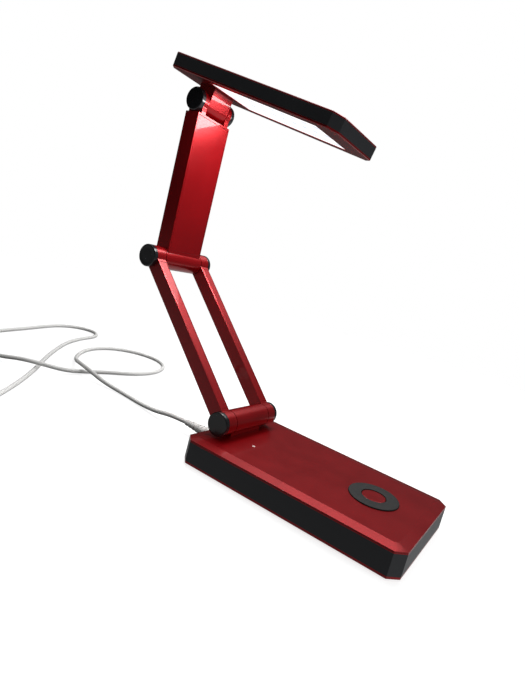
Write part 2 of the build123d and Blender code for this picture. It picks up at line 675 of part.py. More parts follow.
def power_button():
    body = post(BUTTON_RADIUS, BUTTON_TOP - BUTTON_SKIRT, BUTTON_TOP, SWITCH_CX)
    body = fillet(body.faces().sort_by(Axis.Z)[-1].edges(), BUTTON_ROUNDING)
    body -= post(BUTTON_RADIUS - BUTTON_WALL, BUTTON_TOP - BUTTON_SKIRT - CUT, BUTTON_TOP - BUTTON_WALL,
                 SWITCH_CX)
    return body + post(STEM_RADIUS, STEM_END, BUTTON_TOP - BUTTON_WALL, SWITCH_CX)


def switch_plunger():
    return post(PLUNGER_RADIUS, PLUNGER_Z, STEM_END, SWITCH_CX)


def tact_switch():
    a, b, c = TACT_SIZE
    body = slab(SWITCH_CX - a / 2, SWITCH_CX + a / 2, -b / 2, b / 2, TACT_Z, TACT_TOP)
    return body - post(PLUNGER_RADIUS + PLUNGER_GAP, PLUNGER_Z - BUTTON_TRAVEL - PLUNGER_SPARE,
                       TACT_TOP + CUT, SWITCH_CX)


def switch_board():
    z = FLOOR_Z + SWITCH_STANDOFF
    a, b = SWITCH_BOARD
    return slab(SWITCH_CX - a / 2, SWITCH_CX + a / 2, -b / 2, b / 2, z, z + BOARD_THICKNESS)


BOARD_Z = FLOOR_Z + BOARD_STANDOFF
BOARD_TOP = BOARD_Z + BOARD_THICKNESS


def main_board():
    return slab(BOARD_X0, BOARD_X0 + MAIN_BOARD[0], -MAIN_BOARD[1] / 2, MAIN_BOARD[1] / 2,
                BOARD_Z, BOARD_TOP)


def chip(size, x, y):
    """Square-cornered component on the main board, centred on (x, y)."""
    a, b, c = size
    return slab(x - a / 2, x + a / 2, y - b / 2, y + b / 2, BOARD_TOP, BOARD_TOP + c)


def can(size, x, y):
    """Round component on the main board."""
    radius, height = size
    return post(radius, BOARD_TOP, BOARD_TOP + height, x, y)


def board_components():
    """Charging chip, LED driver and its coil, capacitor, wire connector and status LED."""
    return group([
        chip(CHARGER_CHIP, BOARD_MID, 4.5),
        chip(DRIVER_CHIP, BOARD_MID + 8, 12.5),
        can(INDUCTOR, BOARD_MID + 12, -2),
        can(CAPACITOR, BOARD_MID + 2, 20),
        chip(CONNECTOR, BOARD_MID + 15.5, 22),
        chip(STATUS_LED, LIGHT_X, INDICATOR_Y),
    ])


def charge_indicator():
    """Light pipe over the status LED, with a collar under the cover."""
    radius, height = INDICATOR_COLLAR
    body = post(INDICATOR_RADIUS, BOARD_TOP + INDICATOR_LIFT, TOP_Z + INDICATOR_PROUD, LIGHT_X, INDICATOR_Y)
    return body + post(radius, ROOF_Z - height, ROOF_Z, LIGHT_X, INDICATOR_Y)


def charge_jack():
    half = JACK_WIDTH / 2
    x0 = -HALF_L + WALL
    x1 = x0 + JACK_LENGTH
    low = BOARD_TOP
    high = 2 * JACK_HEIGHT - low
    body = slab(x0, x0 + JACK_FRONT, JACK_Y - half, JACK_Y + half, low + JACK_GAP, high)
    body += slab(x0 + JACK_FRONT, x1, JACK_Y - half, JACK_Y + half, low, high)
    return body - rod(PLUG_RADIUS + SEAT_GAP, x0 - CUT, x1 - JACK_BACK, JACK_Y, JACK_HEIGHT)


def battery_cradle():
    x0 = -HALF_L + CELL_START - CELL_PITCH / 2 - CRADLE_SIDE
    x1 = x0 + CELL_COUNT * CELL_PITCH + 2 * CRADLE_SIDE
    half = CELL_LENGTH / 2 + CRADLE_END
    body = slab(x0, x1, -half, half, FLOOR_Z, FLOOR_Z + CRADLE_HEIGHT)
    z = FLOOR_Z + CRADLE_FLOOR + CELL_RADIUS
    pocket = CELL_LENGTH / 2 + CRADLE_GAP
    for i in range(CELL_COUNT):
        x = -HALF_L + CELL_START + i * CELL_PITCH
        body -= axle(CELL_RADIUS + SEAT_GAP, -pocket, pocket, x, z)
    return body


def battery_cells():
    z = FLOOR_Z + CRADLE_FLOOR + CELL_RADIUS
    cells = []
    for i in range(CELL_COUNT):
        x = -HALF_L + CELL_START + i * CELL_PITCH
        side = 1 if i % 2 else -1
        cell = axle(CELL_RADIUS, -CELL_LENGTH / 2, CELL_LENGTH / 2 - CELL_TIP, x, z)
        cell += axle(CELL_TIP_RADIUS, CELL_LENGTH / 2 - CELL_TIP, CELL_LENGTH / 2, x, z)
        cells.append(cell if side > 0 else mirror(cell, about=Plane.XZ))
    return group(cells)


def ballast_plate():
    x0 = -HALF_L + BALLAST_START
    body = slab(x0, x0 + BALLAST_LENGTH, -BALLAST_WIDTH / 2, BALLAST_WIDTH / 2,
                FLOOR_Z, FLOOR_Z + BALLAST_THICKNESS)
    for x, y in SWITCH_BOARD_POSTS:
        body -= post(STEM_RADIUS + BALLAST_GAP, FLOOR_Z - CUT, FLOOR_Z + BALLAST_THICKNESS + CUT, x, y)
    return body


# ---- charging lead ---------------------------------------------------------------------------
def charging_plug():
    end = -HALF_L - OVERMOULD_LENGTH
    body = rod(OVERMOULD_RADIUS, end, -HALF_L, JACK_Y, JACK_HEIGHT)
    body = fillet(body.faces().sort_by(Axis.X)[0].edges(), OVERMOULD_ROUNDING)
    body += rod(PLUG_RADIUS, -HALF_L, -HALF_L + PLUG_REACH, JACK_Y, JACK_HEIGHT)
    return body - rod(PLUG_BORE, -HALF_L + PLUG_BORE, -HALF_L + PLUG_REACH + CUT, JACK_Y, JACK_HEIGHT)


def plug_strain_relief():
    start = -HALF_L - OVERMOULD_LENGTH
    body = Cone(RELIEF_START_RADIUS, RELIEF_END_RADIUS, RELIEF_LENGTH,
                align=(Align.CENTER, Align.CENTER, Align.MIN))
    return Pos(start, JACK_Y, JACK_HEIGHT) * Rot(0, -90, 0) * body


def cord_route():
    """Route of the lead from the strain relief to the coil, one hand-set point per bend."""
    z = CORD_Z
    high = CROSSING_HEIGHT
    return [
        (EXIT_X, JACK_Y, JACK_HEIGHT), (-143, JACK_Y, 9.4), (-164, -9.0, 4.4), (-188, -5.5, z),
        (-214, -3.0, z), (-240, -4.5, z + 1.4), (-263, -6.0, high), (-287, -1.0, high),
        (-308, 11, z + 1.6), (-329, 29, z), (-346, 56, z), (-347, 88, z), (-328, 112, z),
        (-298, 120, z), (-271, 107, z), (-257, 79, z), (-257, 50, z), (-268, 24, z),
        (-275, 0, z), (-276.5, -21, z + 1.8), (-284.5, -40, high), (-304, -51, high),
        (-327, -59, z + 1.4), (-353, -62, z), (-381, -57, z), (-403, -39, z), (-416, -10, z),
        (-425, 22, z), (-435, 52, z), (-443, 80, z), (-437, 105, z), (-415, 116, z),
        (-394, 103, z), (-386, 74, z), (-371, 44, z), (-346, 13, z), (-319.5, -16, z),
        (-292.5, -42, z), (-266.5, -70.5, z), (-245.5, -97, z), (-228.5, -121.5, z),
        (COIL_CENTRE[0] + COIL_DIAMETER / 2, COIL_CENTRE[1] + 1.0, z),
    ]


def cord_radii(points):
    """Largest bend radius that each corner's two runs leave room for."""
    corners = [Vector(*p) for p in points]
    radii = []
    for before, here, after in zip(corners, corners[1:], corners[2:]):
        into = here - before
        out = after - here
        turn = math.radians(into.get_angle(out))
        radii.append(0.45 * min(into.length, out.length) / math.tan(turn / 2))
    return radii


def cord_tube(points):
    path = FilletPolyline(*points, radius=cord_radii(points))
    start = Plane(origin=path @ 0, z_dir=path % 0)
    return sweep(start * Circle(CORD_RADIUS), path=path), path


def cord_coil():
    layers = COIL_LAYERS
    across = COIL_TURNS / layers
    inner = COIL_DIAMETER / 2 - across * CORD_RADIUS
    outer = COIL_DIAMETER / 2 + across * CORD_RADIUS
    height = layers * CORD_DIAMETER
    body = post(outer, COIL_LIFT, height, *COIL_CENTRE) - post(inner, -CUT, height + CUT, *COIL_CENTRE)
    return fillet(body.edges().filter_by(GeomType.CIRCLE), CORD_RADIUS * COIL_ROUNDING)


def cord_tie():
    """Soft band round the coil, on the side away from the lamp."""
    half = COIL_TURNS / COIL_LAYERS * CORD_RADIUS + TIE_WALL
    x = COIL_CENTRE[0]
    y = COIL_CENTRE[1] - COIL_DIAMETER / 2
    height = COIL_LAYERS * CORD_DIAMETER
    body = slab(x - TIE_WIDTH / 2, x + TIE_WIDTH / 2, y - half, y + half, TIE_LIFT, height + TIE_TOP)
    body = fillet(body.edges().filter_by(Axis.X), TIE_ROUNDING)
    return body - cord_coil()


TAIL_Z = CORD_Z + CORD_RADIUS
TAIL_RADIUS = COIL_DIAMETER / 2 + CORD_RADIUS / 2
TAIL_TURN = math.radians(COIL_EXIT_ANGLE)
AT_TAIL = Pos(COIL_CENTRE[0] + TAIL_RADIUS * math.cos(TAIL_TURN),
              COIL_CENTRE[1] + TAIL_RADIUS * math.sin(TAIL_TURN), TAIL_Z) * Rot(0, 0, COIL_EXIT_ANGLE - 90)


def cord_tail():
    return rod(CORD_RADIUS, 0, TAIL_LENGTH)


def usb_plug():
    relief_start, relief_end = USB_RELIEF_RADII
    relief = Pos(TAIL_LENGTH, 0, 0) * Rot(0, 90, 0) * Cone(
        relief_start, relief_end, USB_RELIEF, align=(Align.CENTER, Align.CENTER, Align.MIN))
    a, b, c = USB_BODY
    x0 = TAIL_LENGTH + USB_RELIEF
    body = slab(x0, x0 + a, -b / 2, b / 2, -c / 2, c / 2)
    body = fillet(body.edges().filter_by(Axis.X), USB_BODY_CORNER)
    x1 = x0 + a
    a, b, c = USB_SHELL
    shell = slab(x1, x1 + a, -b / 2, b / 2, -c / 2, c / 2)
    shell -= slab(x1 + USB_SHELL_FLOOR, x1 + a + CUT, -b / 2 + USB_SHELL_WALL, b / 2 - USB_SHELL_WALL,
                  -USB_TONGUE_DROP, c / 2 - USB_SHELL_WALL)
    return relief + body + shell


# ---- write every node --------------------------------------------------------------------------
route = cord_route()
cord_solid, cord_path = cord_tube(route)
print("cord radii mm:", " ".join(f"{r:.0f}" for r in cord_radii(route)))
section_times_length = math.pi * CORD_RADIUS ** 2 * cord_path.length
coil_length = COIL_TURNS * math.pi * COIL_DIAMETER
print(f"cord tube {cord_path.length:.0f} mm, volume {cord_solid.volume:.0f}, "
      f"section x length {section_times_length:.0f}, coil {coil_length:.0f} mm")

NODES = {
    "base_bottom_cover": base_bottom_cover(),
    "base_side_band": base_side_band(),
    "base_top_cover": base_top_cover(),
    "anti_slip_pad": anti_slip_pad(),
    "base_screws": base_screws(),
    "base_hinge_barrel": base_hinge_barrel(),
    "hinge_bracket_screws": hinge_bracket_screws(),
    "switch_bezel": switch_bezel(),
    "power_button": power_button(),
    "switch_plunger": switch_plunger(),
    "tact_switch": tact_switch(),
    "switch_board": switch_board(),
    "main_board": main_board(),
    "board_components": board_components(),
    "charge_indicator": charge_indicator(),
    "charge_jack": charge_jack(),
    "battery_cradle": battery_cradle(),
    "battery_cells": battery_cells(),
    "ballast_plate": ballast_plate(),
    "base_hinge_pin": base_hinge_pin(),
    "base_hinge_caps": base_hinge_caps(),
    "base_hinge_washers": Pos(HINGE_X, 0, HINGE_Z) * washer_pair(),
    "near_rail_channel": AT_BASE_HINGE * rail_channel(-RAIL_OUTER, -RAIL_INNER),
    "near_rail_lid": AT_BASE_HINGE * rail_lid(-RAIL_OUTER, -RAIL_INNER),
    "far_rail_channel": AT_BASE_HINGE * rail_channel(RAIL_INNER, RAIL_OUTER),
    "far_rail_lid": AT_BASE_HINGE * rail_lid(RAIL_INNER, RAIL_OUTER),
    "rail_wires": AT_BASE_HINGE * rail_wires(),
    "elbow_pin": AT_ELBOW * hinge_pin(PIN_RADIUS, RAIL_OUTER + PIN_IN_CAP),
    "elbow_caps": AT_ELBOW * elbow_caps(),
    "elbow_washers": AT_ELBOW * washer_pair(),
    "upper_arm_channel": AT_ELBOW * upper_arm_channel(),
    "upper_arm_lid": AT_ELBOW * upper_arm_lid(),
    "upper_arm_wires": AT_ELBOW * upper_arm_wires(),
    "head_hinge_pin": AT_HEAD * head_hinge_pin(),
    "head_hinge_caps": AT_HEAD * head_hinge_caps(),
    "head_hinge_block": AT_HEAD * head_hinge_block(),
    "hinge_block_screws": AT_HEAD * hinge_block_screws(),
    "head_bottom_frame": AT_HEAD * head_bottom_frame(),
    "head_side_band": AT_HEAD * head_side_band(),
    "head_top_cover": AT_HEAD * head_top_cover(),
    "light_diffuser": AT_HEAD * light_diffuser(),
    "reflector_tray": AT_HEAD * reflector_tray(),
    "led_board": AT_HEAD * led_board(),
    "led_chips": AT_HEAD * led_chips(),
    "head_wires": AT_HEAD * head_wires(),
    "charging_plug": charging_plug(),
    "plug_strain_relief": plug_strain_relief(),
    "charging_cord": cord_solid,
    "cord_coil": cord_coil(),
    "cord_tie": cord_tie(),
    "cord_tail": AT_TAIL * cord_tail(),
    "usb_plug": AT_TAIL * usb_plug(),
}

for name, shape in NODES.items():
    export_step(shape, f"parts/{name}.step")
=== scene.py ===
import json
import logging
import math
from dataclasses import dataclass
from enum import Enum
from typing import Sequence

import bmesh
import bpy
from mathutils import Matrix, Vector

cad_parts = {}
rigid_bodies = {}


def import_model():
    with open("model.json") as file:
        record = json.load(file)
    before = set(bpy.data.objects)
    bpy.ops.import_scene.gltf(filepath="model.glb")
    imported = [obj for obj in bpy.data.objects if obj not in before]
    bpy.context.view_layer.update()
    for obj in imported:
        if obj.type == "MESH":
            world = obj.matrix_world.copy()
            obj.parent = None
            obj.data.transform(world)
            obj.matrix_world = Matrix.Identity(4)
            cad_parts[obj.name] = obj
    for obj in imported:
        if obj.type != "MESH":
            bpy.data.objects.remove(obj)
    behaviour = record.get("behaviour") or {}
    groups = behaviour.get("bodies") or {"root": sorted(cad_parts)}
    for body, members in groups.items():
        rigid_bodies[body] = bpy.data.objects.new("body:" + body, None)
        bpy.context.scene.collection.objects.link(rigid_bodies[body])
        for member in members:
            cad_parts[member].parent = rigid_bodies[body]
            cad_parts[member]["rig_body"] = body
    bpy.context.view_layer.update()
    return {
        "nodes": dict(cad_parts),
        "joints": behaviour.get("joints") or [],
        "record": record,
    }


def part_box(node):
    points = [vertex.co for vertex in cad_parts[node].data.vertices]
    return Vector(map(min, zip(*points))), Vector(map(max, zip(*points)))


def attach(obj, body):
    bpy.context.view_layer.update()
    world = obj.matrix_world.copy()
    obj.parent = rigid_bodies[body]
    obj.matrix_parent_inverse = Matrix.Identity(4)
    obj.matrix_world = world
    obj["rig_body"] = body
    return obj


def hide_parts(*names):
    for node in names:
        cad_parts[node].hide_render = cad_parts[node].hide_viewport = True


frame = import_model()
NODES = frame["nodes"]
LOG = logging.getLogger("lamp")
MM = 0.001
Pair = tuple[float, float]
Point = tuple[float, float, float]
Colour = tuple[float, float, float]
Profile = list[Pair]


# ---- places that follow from the frame ------------------------------------------------------
def joint_place(name: str) -> Vector:
    """Axis point of a joint, in metres, in the row frame."""
    return Vector(next(j["pos_m"] for j in frame["joints"] if j["name"] == name))


BASE_HINGE = joint_place("base_lean")
ELBOW = joint_place("arm_fold")
HEAD_HINGE = joint_place("head_tilt")


HEAD_TILT = math.radians(-11.8)


def head_matrix() -> Matrix:
    """Matrix from the head's own frame, in metres, to the row frame."""
    x = Vector((math.cos(HEAD_TILT), 0.0, math.sin(HEAD_TILT)))
    y = Vector((0.0, 1.0, 0.0))
    return Matrix.Translation(HEAD_HINGE) @ Matrix((x, y, x.cross(y))).transposed().to_4x4()


HEAD_SEAT = head_matrix()


# ---- shader expressions -----------------------------------------------------------------------
class Value:
    """A shader value that can be used in Python arithmetic; each operator adds a Math node."""

    def __init__(self, tree: bpy.types.NodeTree, socket: bpy.types.NodeSocket) -> None:
        """Wraps one output socket of a node tree."""
        self.tree = tree
        self.socket = socket

    def _math(self, operation: str, *others: "Value | float") -> "Value":
        """Adds one Math node.

        Args:
            operation: the Math node's operation.
            others: further operands, after this value.

        Returns:
            The node's result.
        """
        node = self.tree.nodes.new("ShaderNodeMath")
        node.operation = operation
        for slot, item in zip(node.inputs, (self, *others)):
            if isinstance(item, Value):
                self.tree.links.new(item.socket, slot)
            else:
                slot.default_value = item
        return Value(self.tree, node.outputs[0])

    def __add__(self, other: "Value | float") -> "Value":
        """Sum."""
        return self._math("ADD", other)

    def __sub__(self, other: "Value | float") -> "Value":
        """Difference."""
        return self._math("SUBTRACT", other)

    def __rsub__(self, other: float) -> "Value":
        """Difference with the number first."""
        node = self.tree.nodes.new("ShaderNodeMath")
        node.operation = "SUBTRACT"
        node.inputs[0].default_value = other
        self.tree.links.new(self.socket, node.inputs[1])
        return Value(self.tree, node.outputs[0])

    def __mul__(self, other: "Value | float") -> "Value":
        """Product."""
        return self._math("MULTIPLY", other)

    def __truediv__(self, other: "Value | float") -> "Value":
        """Quotient."""
        return self._math("DIVIDE", other)

    def __pow__(self, other: "Value | float") -> "Value":
        """Power."""
        return self._math("POWER", other)

    def limited(self) -> "Value":
        """This value, kept between 0 and 1."""
        node = self.tree.nodes.new("ShaderNodeClamp")
        self.tree.links.new(self.socket, node.inputs["Value"])
        return Value(self.tree, node.outputs[0])

    def folded(self, pitch: float) -> "Value":
        """Distance to the nearest middle of cells of that pitch."""
        return (self._math("PINGPONG", pitch / 2) * -1.0) + pitch / 2


class Graph:
    """A node tree with short ways to add nodes to it."""

    prefix = ""
    tree: bpy.types.NodeTree

    def node(self, kind: str, settings: dict | None = None, **inputs: object) -> bpy.types.Node:
        """Adds a node.

        Args:
            kind: the node's type, without the graph's prefix.
            settings: attributes of the node, set before its sockets.
            inputs: socket values or links by name, with _ for a space.

        Returns:
            The new node.
        """
        made = self.tree.nodes.new(self.prefix + kind)
        for key, value in (settings or {}).items():
            setattr(made, key, value)
        for key, value in inputs.items():
            self.feed(made.inputs[key.replace("_", " ")], value)
        return made

    def feed(self, slot: bpy.types.NodeSocket, value: object) -> None:
        """Sets or links one socket."""
        if isinstance(value, Value):
            self.tree.links.new(value.socket, slot)
        elif isinstance(value, bpy.types.NodeSocket):
            self.tree.links.new(value, slot)
        else:
            slot.default_value = value


class Shader(Graph):
    """One material's node tree."""

    prefix = "ShaderNode"

    def __init__(self, name: str) -> None:
        """Starts a material that holds only an output and a Principled shader."""
        self.material = bpy.data.materials.new(name)
        self.material.use_nodes = True
        self.tree = self.material.node_tree
        self.tree.nodes.clear()
        output = self.tree.nodes.new("ShaderNodeOutputMaterial")
        self.surface = self.tree.nodes.new("ShaderNodeBsdfPrincipled")
        self.tree.links.new(self.surface.outputs[0], output.inputs["Surface"])

    def set(self, **inputs: object) -> None:
        """Sets or links sockets of the Principled shader."""
        for key, value in inputs.items():
            self.feed(self.surface.inputs[key.replace("_", " ")], value)

    def place(self) -> bpy.types.NodeSocket:
        """Object coordinates, in metres."""
        return self.node("TexCoord").outputs["Object"]

    def noise(self, scale: float, detail: float = 3.0, rough: float = 0.55) -> Value:
        """Noise over the object's own space, from 0 to 1."""
        made = self.node("TexNoise", None, Vector=self.place(), Scale=scale, Detail=detail,
                         Roughness=rough)
        return Value(self.tree, made.outputs[0])

    def cells(self, scale: float) -> Value:
        """Distance to the nearest random point, for grain."""
        made = self.node("TexVoronoi", None, Vector=self.place(), Scale=scale)
        return Value(self.tree, made.outputs["Distance"])

    def between(self, low: float, high: float, amount: Value) -> Value:
        """Value that runs from low to high as amount runs from 0 to 1."""
        return amount * (high - low) + low

    def blend(self, first: Sequence[float], second: Sequence[float], amount: Value) -> Value:
        """Mix of two colours."""
        made = self.node("Mix", {"data_type": "RGBA"})
        self.feed(made.inputs[0], amount)
        made.inputs[6].default_value = (*first, 1.0)
        made.inputs[7].default_value = (*second, 1.0)
        return Value(self.tree, made.outputs[2])

    def bump(self, height: Value, strength: float, distance: float) -> None:
        """Feeds a height into the Principled shader's normal."""
        made = self.node("Bump", None, Height=height, Strength=strength, Distance=distance)
        self.set(Normal=made.outputs["Normal"])


# ---- finishes ------------------------------------------------------------------------------------
@dataclass(frozen=True)
class Lacquer:
    """Gloss lacquer over a metallic red ground, with orange peel and faint handling marks."""

    name: str = "red_lacquer"
    deep: Colour = (0.205, 0.0006, 0.0024)
    bright: Colour = (0.41, 0.0014, 0.0054)
    metallic: Pair = (0.50, 0.75)
    rough: Pair = (0.24, 0.38)
    coat: Pair = (0.35, 0.50)
    coat_rough: float = 0.045
    coat_ior: float = 1.5
    flake_scale: float = 2600.0
    cloud_scale: float = 26.0
    smear_scale: float = 60.0
    peel_scale: float = 420.0
    peel_strength: float = 0.06
    peel_depth: float = 0.0004

    def build(self) -> bpy.types.Material:
        """Makes the material."""
        s = Shader(self.name)
        flakes = s.cells(self.flake_scale)
        clouds = s.noise(self.cloud_scale, 4.0)
        smears = s.noise(self.smear_scale, 5.0, 0.65)
        s.set(Base_Color=s.blend(self.deep, self.bright, (flakes * 0.7 + clouds * 0.6) ** 1.4),
              Metallic=s.between(*self.metallic, flakes),
              Roughness=s.between(*self.rough, smears),
              Coat_Weight=s.between(*self.coat, clouds))
        s.surface.inputs["Coat Roughness"].default_value = self.coat_rough
        s.surface.inputs["Coat IOR"].default_value = self.coat_ior
        s.bump(s.noise(self.peel_scale, 2.0), self.peel_strength, self.peel_depth)
        return s.material


@dataclass(frozen=True)
class Moulded:
    """Moulded plastic or rubber with a fine grain and slight shade variation."""

    name: str
    dark: Colour
    light: Colour
    rough: Pair = (0.4, 0.55)
    grain_scale: float = 1800.0
    grain_depth: float = 0.00006
    grain_strength: float = 0.35
    coat: float = 0.0
    coat_rough: float = 0.12
    cloud_scale: float = 45.0

    def build(self) -> bpy.types.Material:
        """Makes the material."""
        s = Shader(self.name)
        clouds = s.noise(self.cloud_scale, 5.0, 0.6)
        grain = s.noise(self.grain_scale, 2.0)
        s.set(Base_Color=s.blend(self.dark, self.light, clouds),
              Roughness=s.between(*self.rough, clouds * 0.6 + grain * 0.4),
              Coat_Weight=s.between(self.coat * 0.8, self.coat, clouds))
        s.surface.inputs["Coat Roughness"].default_value = self.coat_rough
        s.bump(grain, self.grain_strength, self.grain_depth)
        return s.material


@dataclass(frozen=True)
class Metal:
    """Plated or turned metal with fine turning marks."""

    name: str
    dark: Colour
    light: Colour
    rough: Pair = (0.2, 0.38)
    mark_scale: float = 900.0
    mark_strength: float = 0.12
    mark_depth: float = 0.00005
    cloud_scale: float = 120.0

    def build(self) -> bpy.types.Material:
        """Makes the material."""
        s = Shader(self.name)
        marks = s.node("TexWave", {"bands_direction": "Y"}, Vector=s.place(), Scale=self.mark_scale,
                       Distortion=2.0, Detail=2.0)
        lines = Value(s.tree, marks.outputs[1])
        clouds = s.noise(self.cloud_scale, 4.0)
        s.set(Base_Color=s.blend(self.dark, self.light, clouds),
              Metallic=s.between(0.95, 1.0, clouds),
              Roughness=s.between(*self.rough, lines * 0.4 + clouds * 0.6))
        s.bump(lines, self.mark_strength, self.mark_depth)
        return s.material


@dataclass(frozen=True)
class LightGrid:
    """Layout of the light window and its LEDs in the head's frame, in millimetres."""

    start: float = 16.5
    end: float = 125.5
    width: float = 53.0
    count_long: int = 10
    count_wide: int = 3
    level: float = 20.2

    @property
    def pitch_long(self) -> float:
        """Distance between LEDs along the head."""
        return (self.end - self.start) / self.count_long

    @property
    def pitch_wide(self) -> float:
        """Distance between LEDs across the head."""
        return self.width / self.count_wide

    @property
    def middle(self) -> float:
        """Middle of the window along the head."""
        return (self.start + self.end) / 2


GRID = LightGrid()


@dataclass(frozen=True)
class LitOpal:
    """Opal light window, lit from behind by a grid of LEDs that show as faint cool spots."""

    name: str = "lit_opal"
    dark: Colour = (0.86, 0.87, 0.90)
    light: Colour = (0.93, 0.94, 0.97)
    rough: Pair = (0.22, 0.34)
    glow: Colour = (1.0, 0.985, 0.99)
    spot: Colour = (0.50, 0.58, 0.72)
    spot_radius: float = 5.2
    spot_slope: float = 1.6
    strength: float = 1.3

    def build(self) -> bpy.types.Material:
        """Makes the material."""
        s = Shader(self.name)
        turned = s.node("Mapping", {"vector_type": "TEXTURE"}, Vector=s.place(),
                        Location=tuple(HEAD_HINGE), Rotation=(0.0, -HEAD_TILT, 0.0))
        axes = s.node("SeparateXYZ", None, Vector=turned.outputs["Vector"])
        x = Value(s.tree, axes.outputs["X"])
        y = Value(s.tree, axes.outputs["Y"])
        dx = (x - GRID.start * MM).folded(GRID.pitch_long * MM)
        dy = (y + GRID.width * MM / 2).folded(GRID.pitch_wide * MM)
        away = (dx * dx + dy * dy) ** 0.5
        spot = ((1.0 - (away / (self.spot_radius * MM))) * self.spot_slope).limited()
        s.set(Base_Color=s.blend(self.dark, self.light, s.noise(90.0)),
              Roughness=s.between(*self.rough, s.noise(150.0)),
              Emission_Color=s.blend(self.glow, self.spot, spot))
        s.surface.inputs["Emission Strength"].default_value = self.strength
        s.bump(s.noise(900.0, 2.0), 0.15, 0.00005)
        return s.material


class Finish(Enum):
    """Every finish on the lamp."""

    RED = Lacquer()
    BAND = Moulded("black_grained_band", (0.020, 0.021, 0.024), (0.034, 0.036, 0.041),
                   rough=(0.40, 0.52), grain_scale=1100.0, grain_depth=0.00005, grain_strength=0.25)
    CAP = Moulded("black_hinge_cap", (0.004, 0.004, 0.005), (0.009, 0.010, 0.012),
                  rough=(0.16, 0.26), grain_scale=900.0, grain_depth=0.00003, grain_strength=0.15,
                  coat=0.5)
    RING = Moulded("black_switch_ring", (0.004, 0.004, 0.004), (0.012, 0.012, 0.011),
                   rough=(0.60, 0.75), grain_scale=2200.0, grain_depth=0.00010, grain_strength=0.6)
    PAD = Moulded("anti_slip_rubber", (0.012, 0.012, 0.012), (0.030, 0.030, 0.030),
                  rough=(0.7, 0.88), grain_scale=1300.0, grain_depth=0.00012, grain_strength=0.8)
    DARK = Moulded("dark_moulding", (0.010, 0.010, 0.011), (0.026, 0.026, 0.028))
    WHITE = Moulded("white_moulding", (0.84, 0.84, 0.82), (0.92, 0.92, 0.90),
                    rough=(0.38, 0.5), grain_scale=1500.0, grain_depth=0.00005, grain_strength=0.3)
    SHEATH = Moulded("lead_sheath", (0.84, 0.84, 0.82), (0.92, 0.92, 0.90),
                     rough=(0.42, 0.56), grain_scale=1400.0, grain_strength=0.4)
    OPAL = LitOpal()
    MASK_GREEN = Moulded("green_solder_mask", (0.010, 0.11, 0.035), (0.022, 0.17, 0.06),
                         rough=(0.25, 0.4), grain_scale=700.0)
    MASK_WHITE = Moulded("white_solder_mask", (0.78, 0.78, 0.78), (0.88, 0.88, 0.88),
                         rough=(0.3, 0.42), grain_scale=700.0)
    PHOSPHOR = Moulded("led_phosphor", (0.80, 0.72, 0.30), (0.92, 0.85, 0.48),
                       rough=(0.3, 0.45), grain_scale=900.0)
    NYLON = Moulded("washer_nylon", (0.66, 0.64, 0.58), (0.78, 0.76, 0.70), rough=(0.45, 0.6))
    CELL = Moulded("cell_wrap", (0.02, 0.07, 0.20), (0.035, 0.11, 0.30),
                   rough=(0.25, 0.35), grain_scale=700.0, grain_depth=0.00003, grain_strength=0.2,
                   coat=0.4)
    CLEAR = Moulded("clear_light_pipe", (0.70, 0.55, 0.52), (0.85, 0.72, 0.70),
                    rough=(0.12, 0.2), grain_scale=700.0, grain_depth=0.00002, grain_strength=0.1,
                    coat=0.6)
    STEEL = Metal("plated_steel", (0.50, 0.50, 0.51), (0.64, 0.64, 0.65))
    ZINC = Metal("zinc_plate", (0.38, 0.38, 0.37), (0.52, 0.52, 0.50), rough=(0.35, 0.55))

    def material(self) -> bpy.types.Material:
        """The finish's material, made once."""
        found = bpy.data.materials.get(self.value.name)
        return found if found is not None else self.value.build()


NODE_FINISH = {
    Finish.STEEL: ["base_screws", "hinge_bracket_screws", "hinge_block_screws", "base_hinge_pin",
                   "elbow_pin", "head_hinge_pin"],
    Finish.ZINC: ["ballast_plate"],
    Finish.WHITE: ["reflector_tray"],
    Finish.DARK: ["switch_plunger", "tact_switch", "battery_cradle", "board_components",
                  "charge_jack", "rail_wires", "upper_arm_wires", "head_wires"],
    Finish.MASK_GREEN: ["main_board", "switch_board"],
    Finish.MASK_WHITE: ["led_board"],
    Finish.CELL: ["battery_cells"],
    Finish.CLEAR: ["charge_indicator"],
    Finish.NYLON: ["base_hinge_washers", "elbow_washers"],
}


# ---- mesh helpers --------------------------------------------------------------------------------
SMOOTH_ANGLE = math.radians(32.0)
BEVEL_ANGLE = math.radians(38.0)
FLAT_ANGLE = math.radians(0.6)
CREASE_LOW = math.radians(6.0)
CREASE_HIGH = math.radians(9.0)
LARGE_FACE = 1e-4
MERGE = 1e-6


def add_object(name: str, data: bpy.types.ID) -> bpy.types.Object:
    """Links a new object for a mesh or curve."""
    made = bpy.data.objects.new(name, data)
    bpy.context.scene.collection.objects.link(made)
    return made


def dress(piece: bpy.types.Object, finish: Finish) -> None:
    """Gives a piece one finish and shades it smooth except at sharp edges."""
    piece.data.materials.clear()
    piece.data.materials.append(finish.material())
    if piece.type == "MESH":
        piece.data.shade_smooth()
        piece.data.set_sharp_from_angle(angle=SMOOTH_ANGLE)


def baked(piece: bpy.types.Object) -> None:
    """Turns a piece's modifiers into its plain mesh."""
    graph = bpy.context.evaluated_depsgraph_get()
    graph.update()
    mesh = bpy.data.meshes.new_from_object(piece.evaluated_get(graph))
    piece.modifiers.clear()
    piece.data = mesh


def slot_of(node: str) -> str:
    """The record's material slot of a CAD node."""
    return next(row["material_slot"] for row in frame["record"]["subparts"] if row["node"] == node)


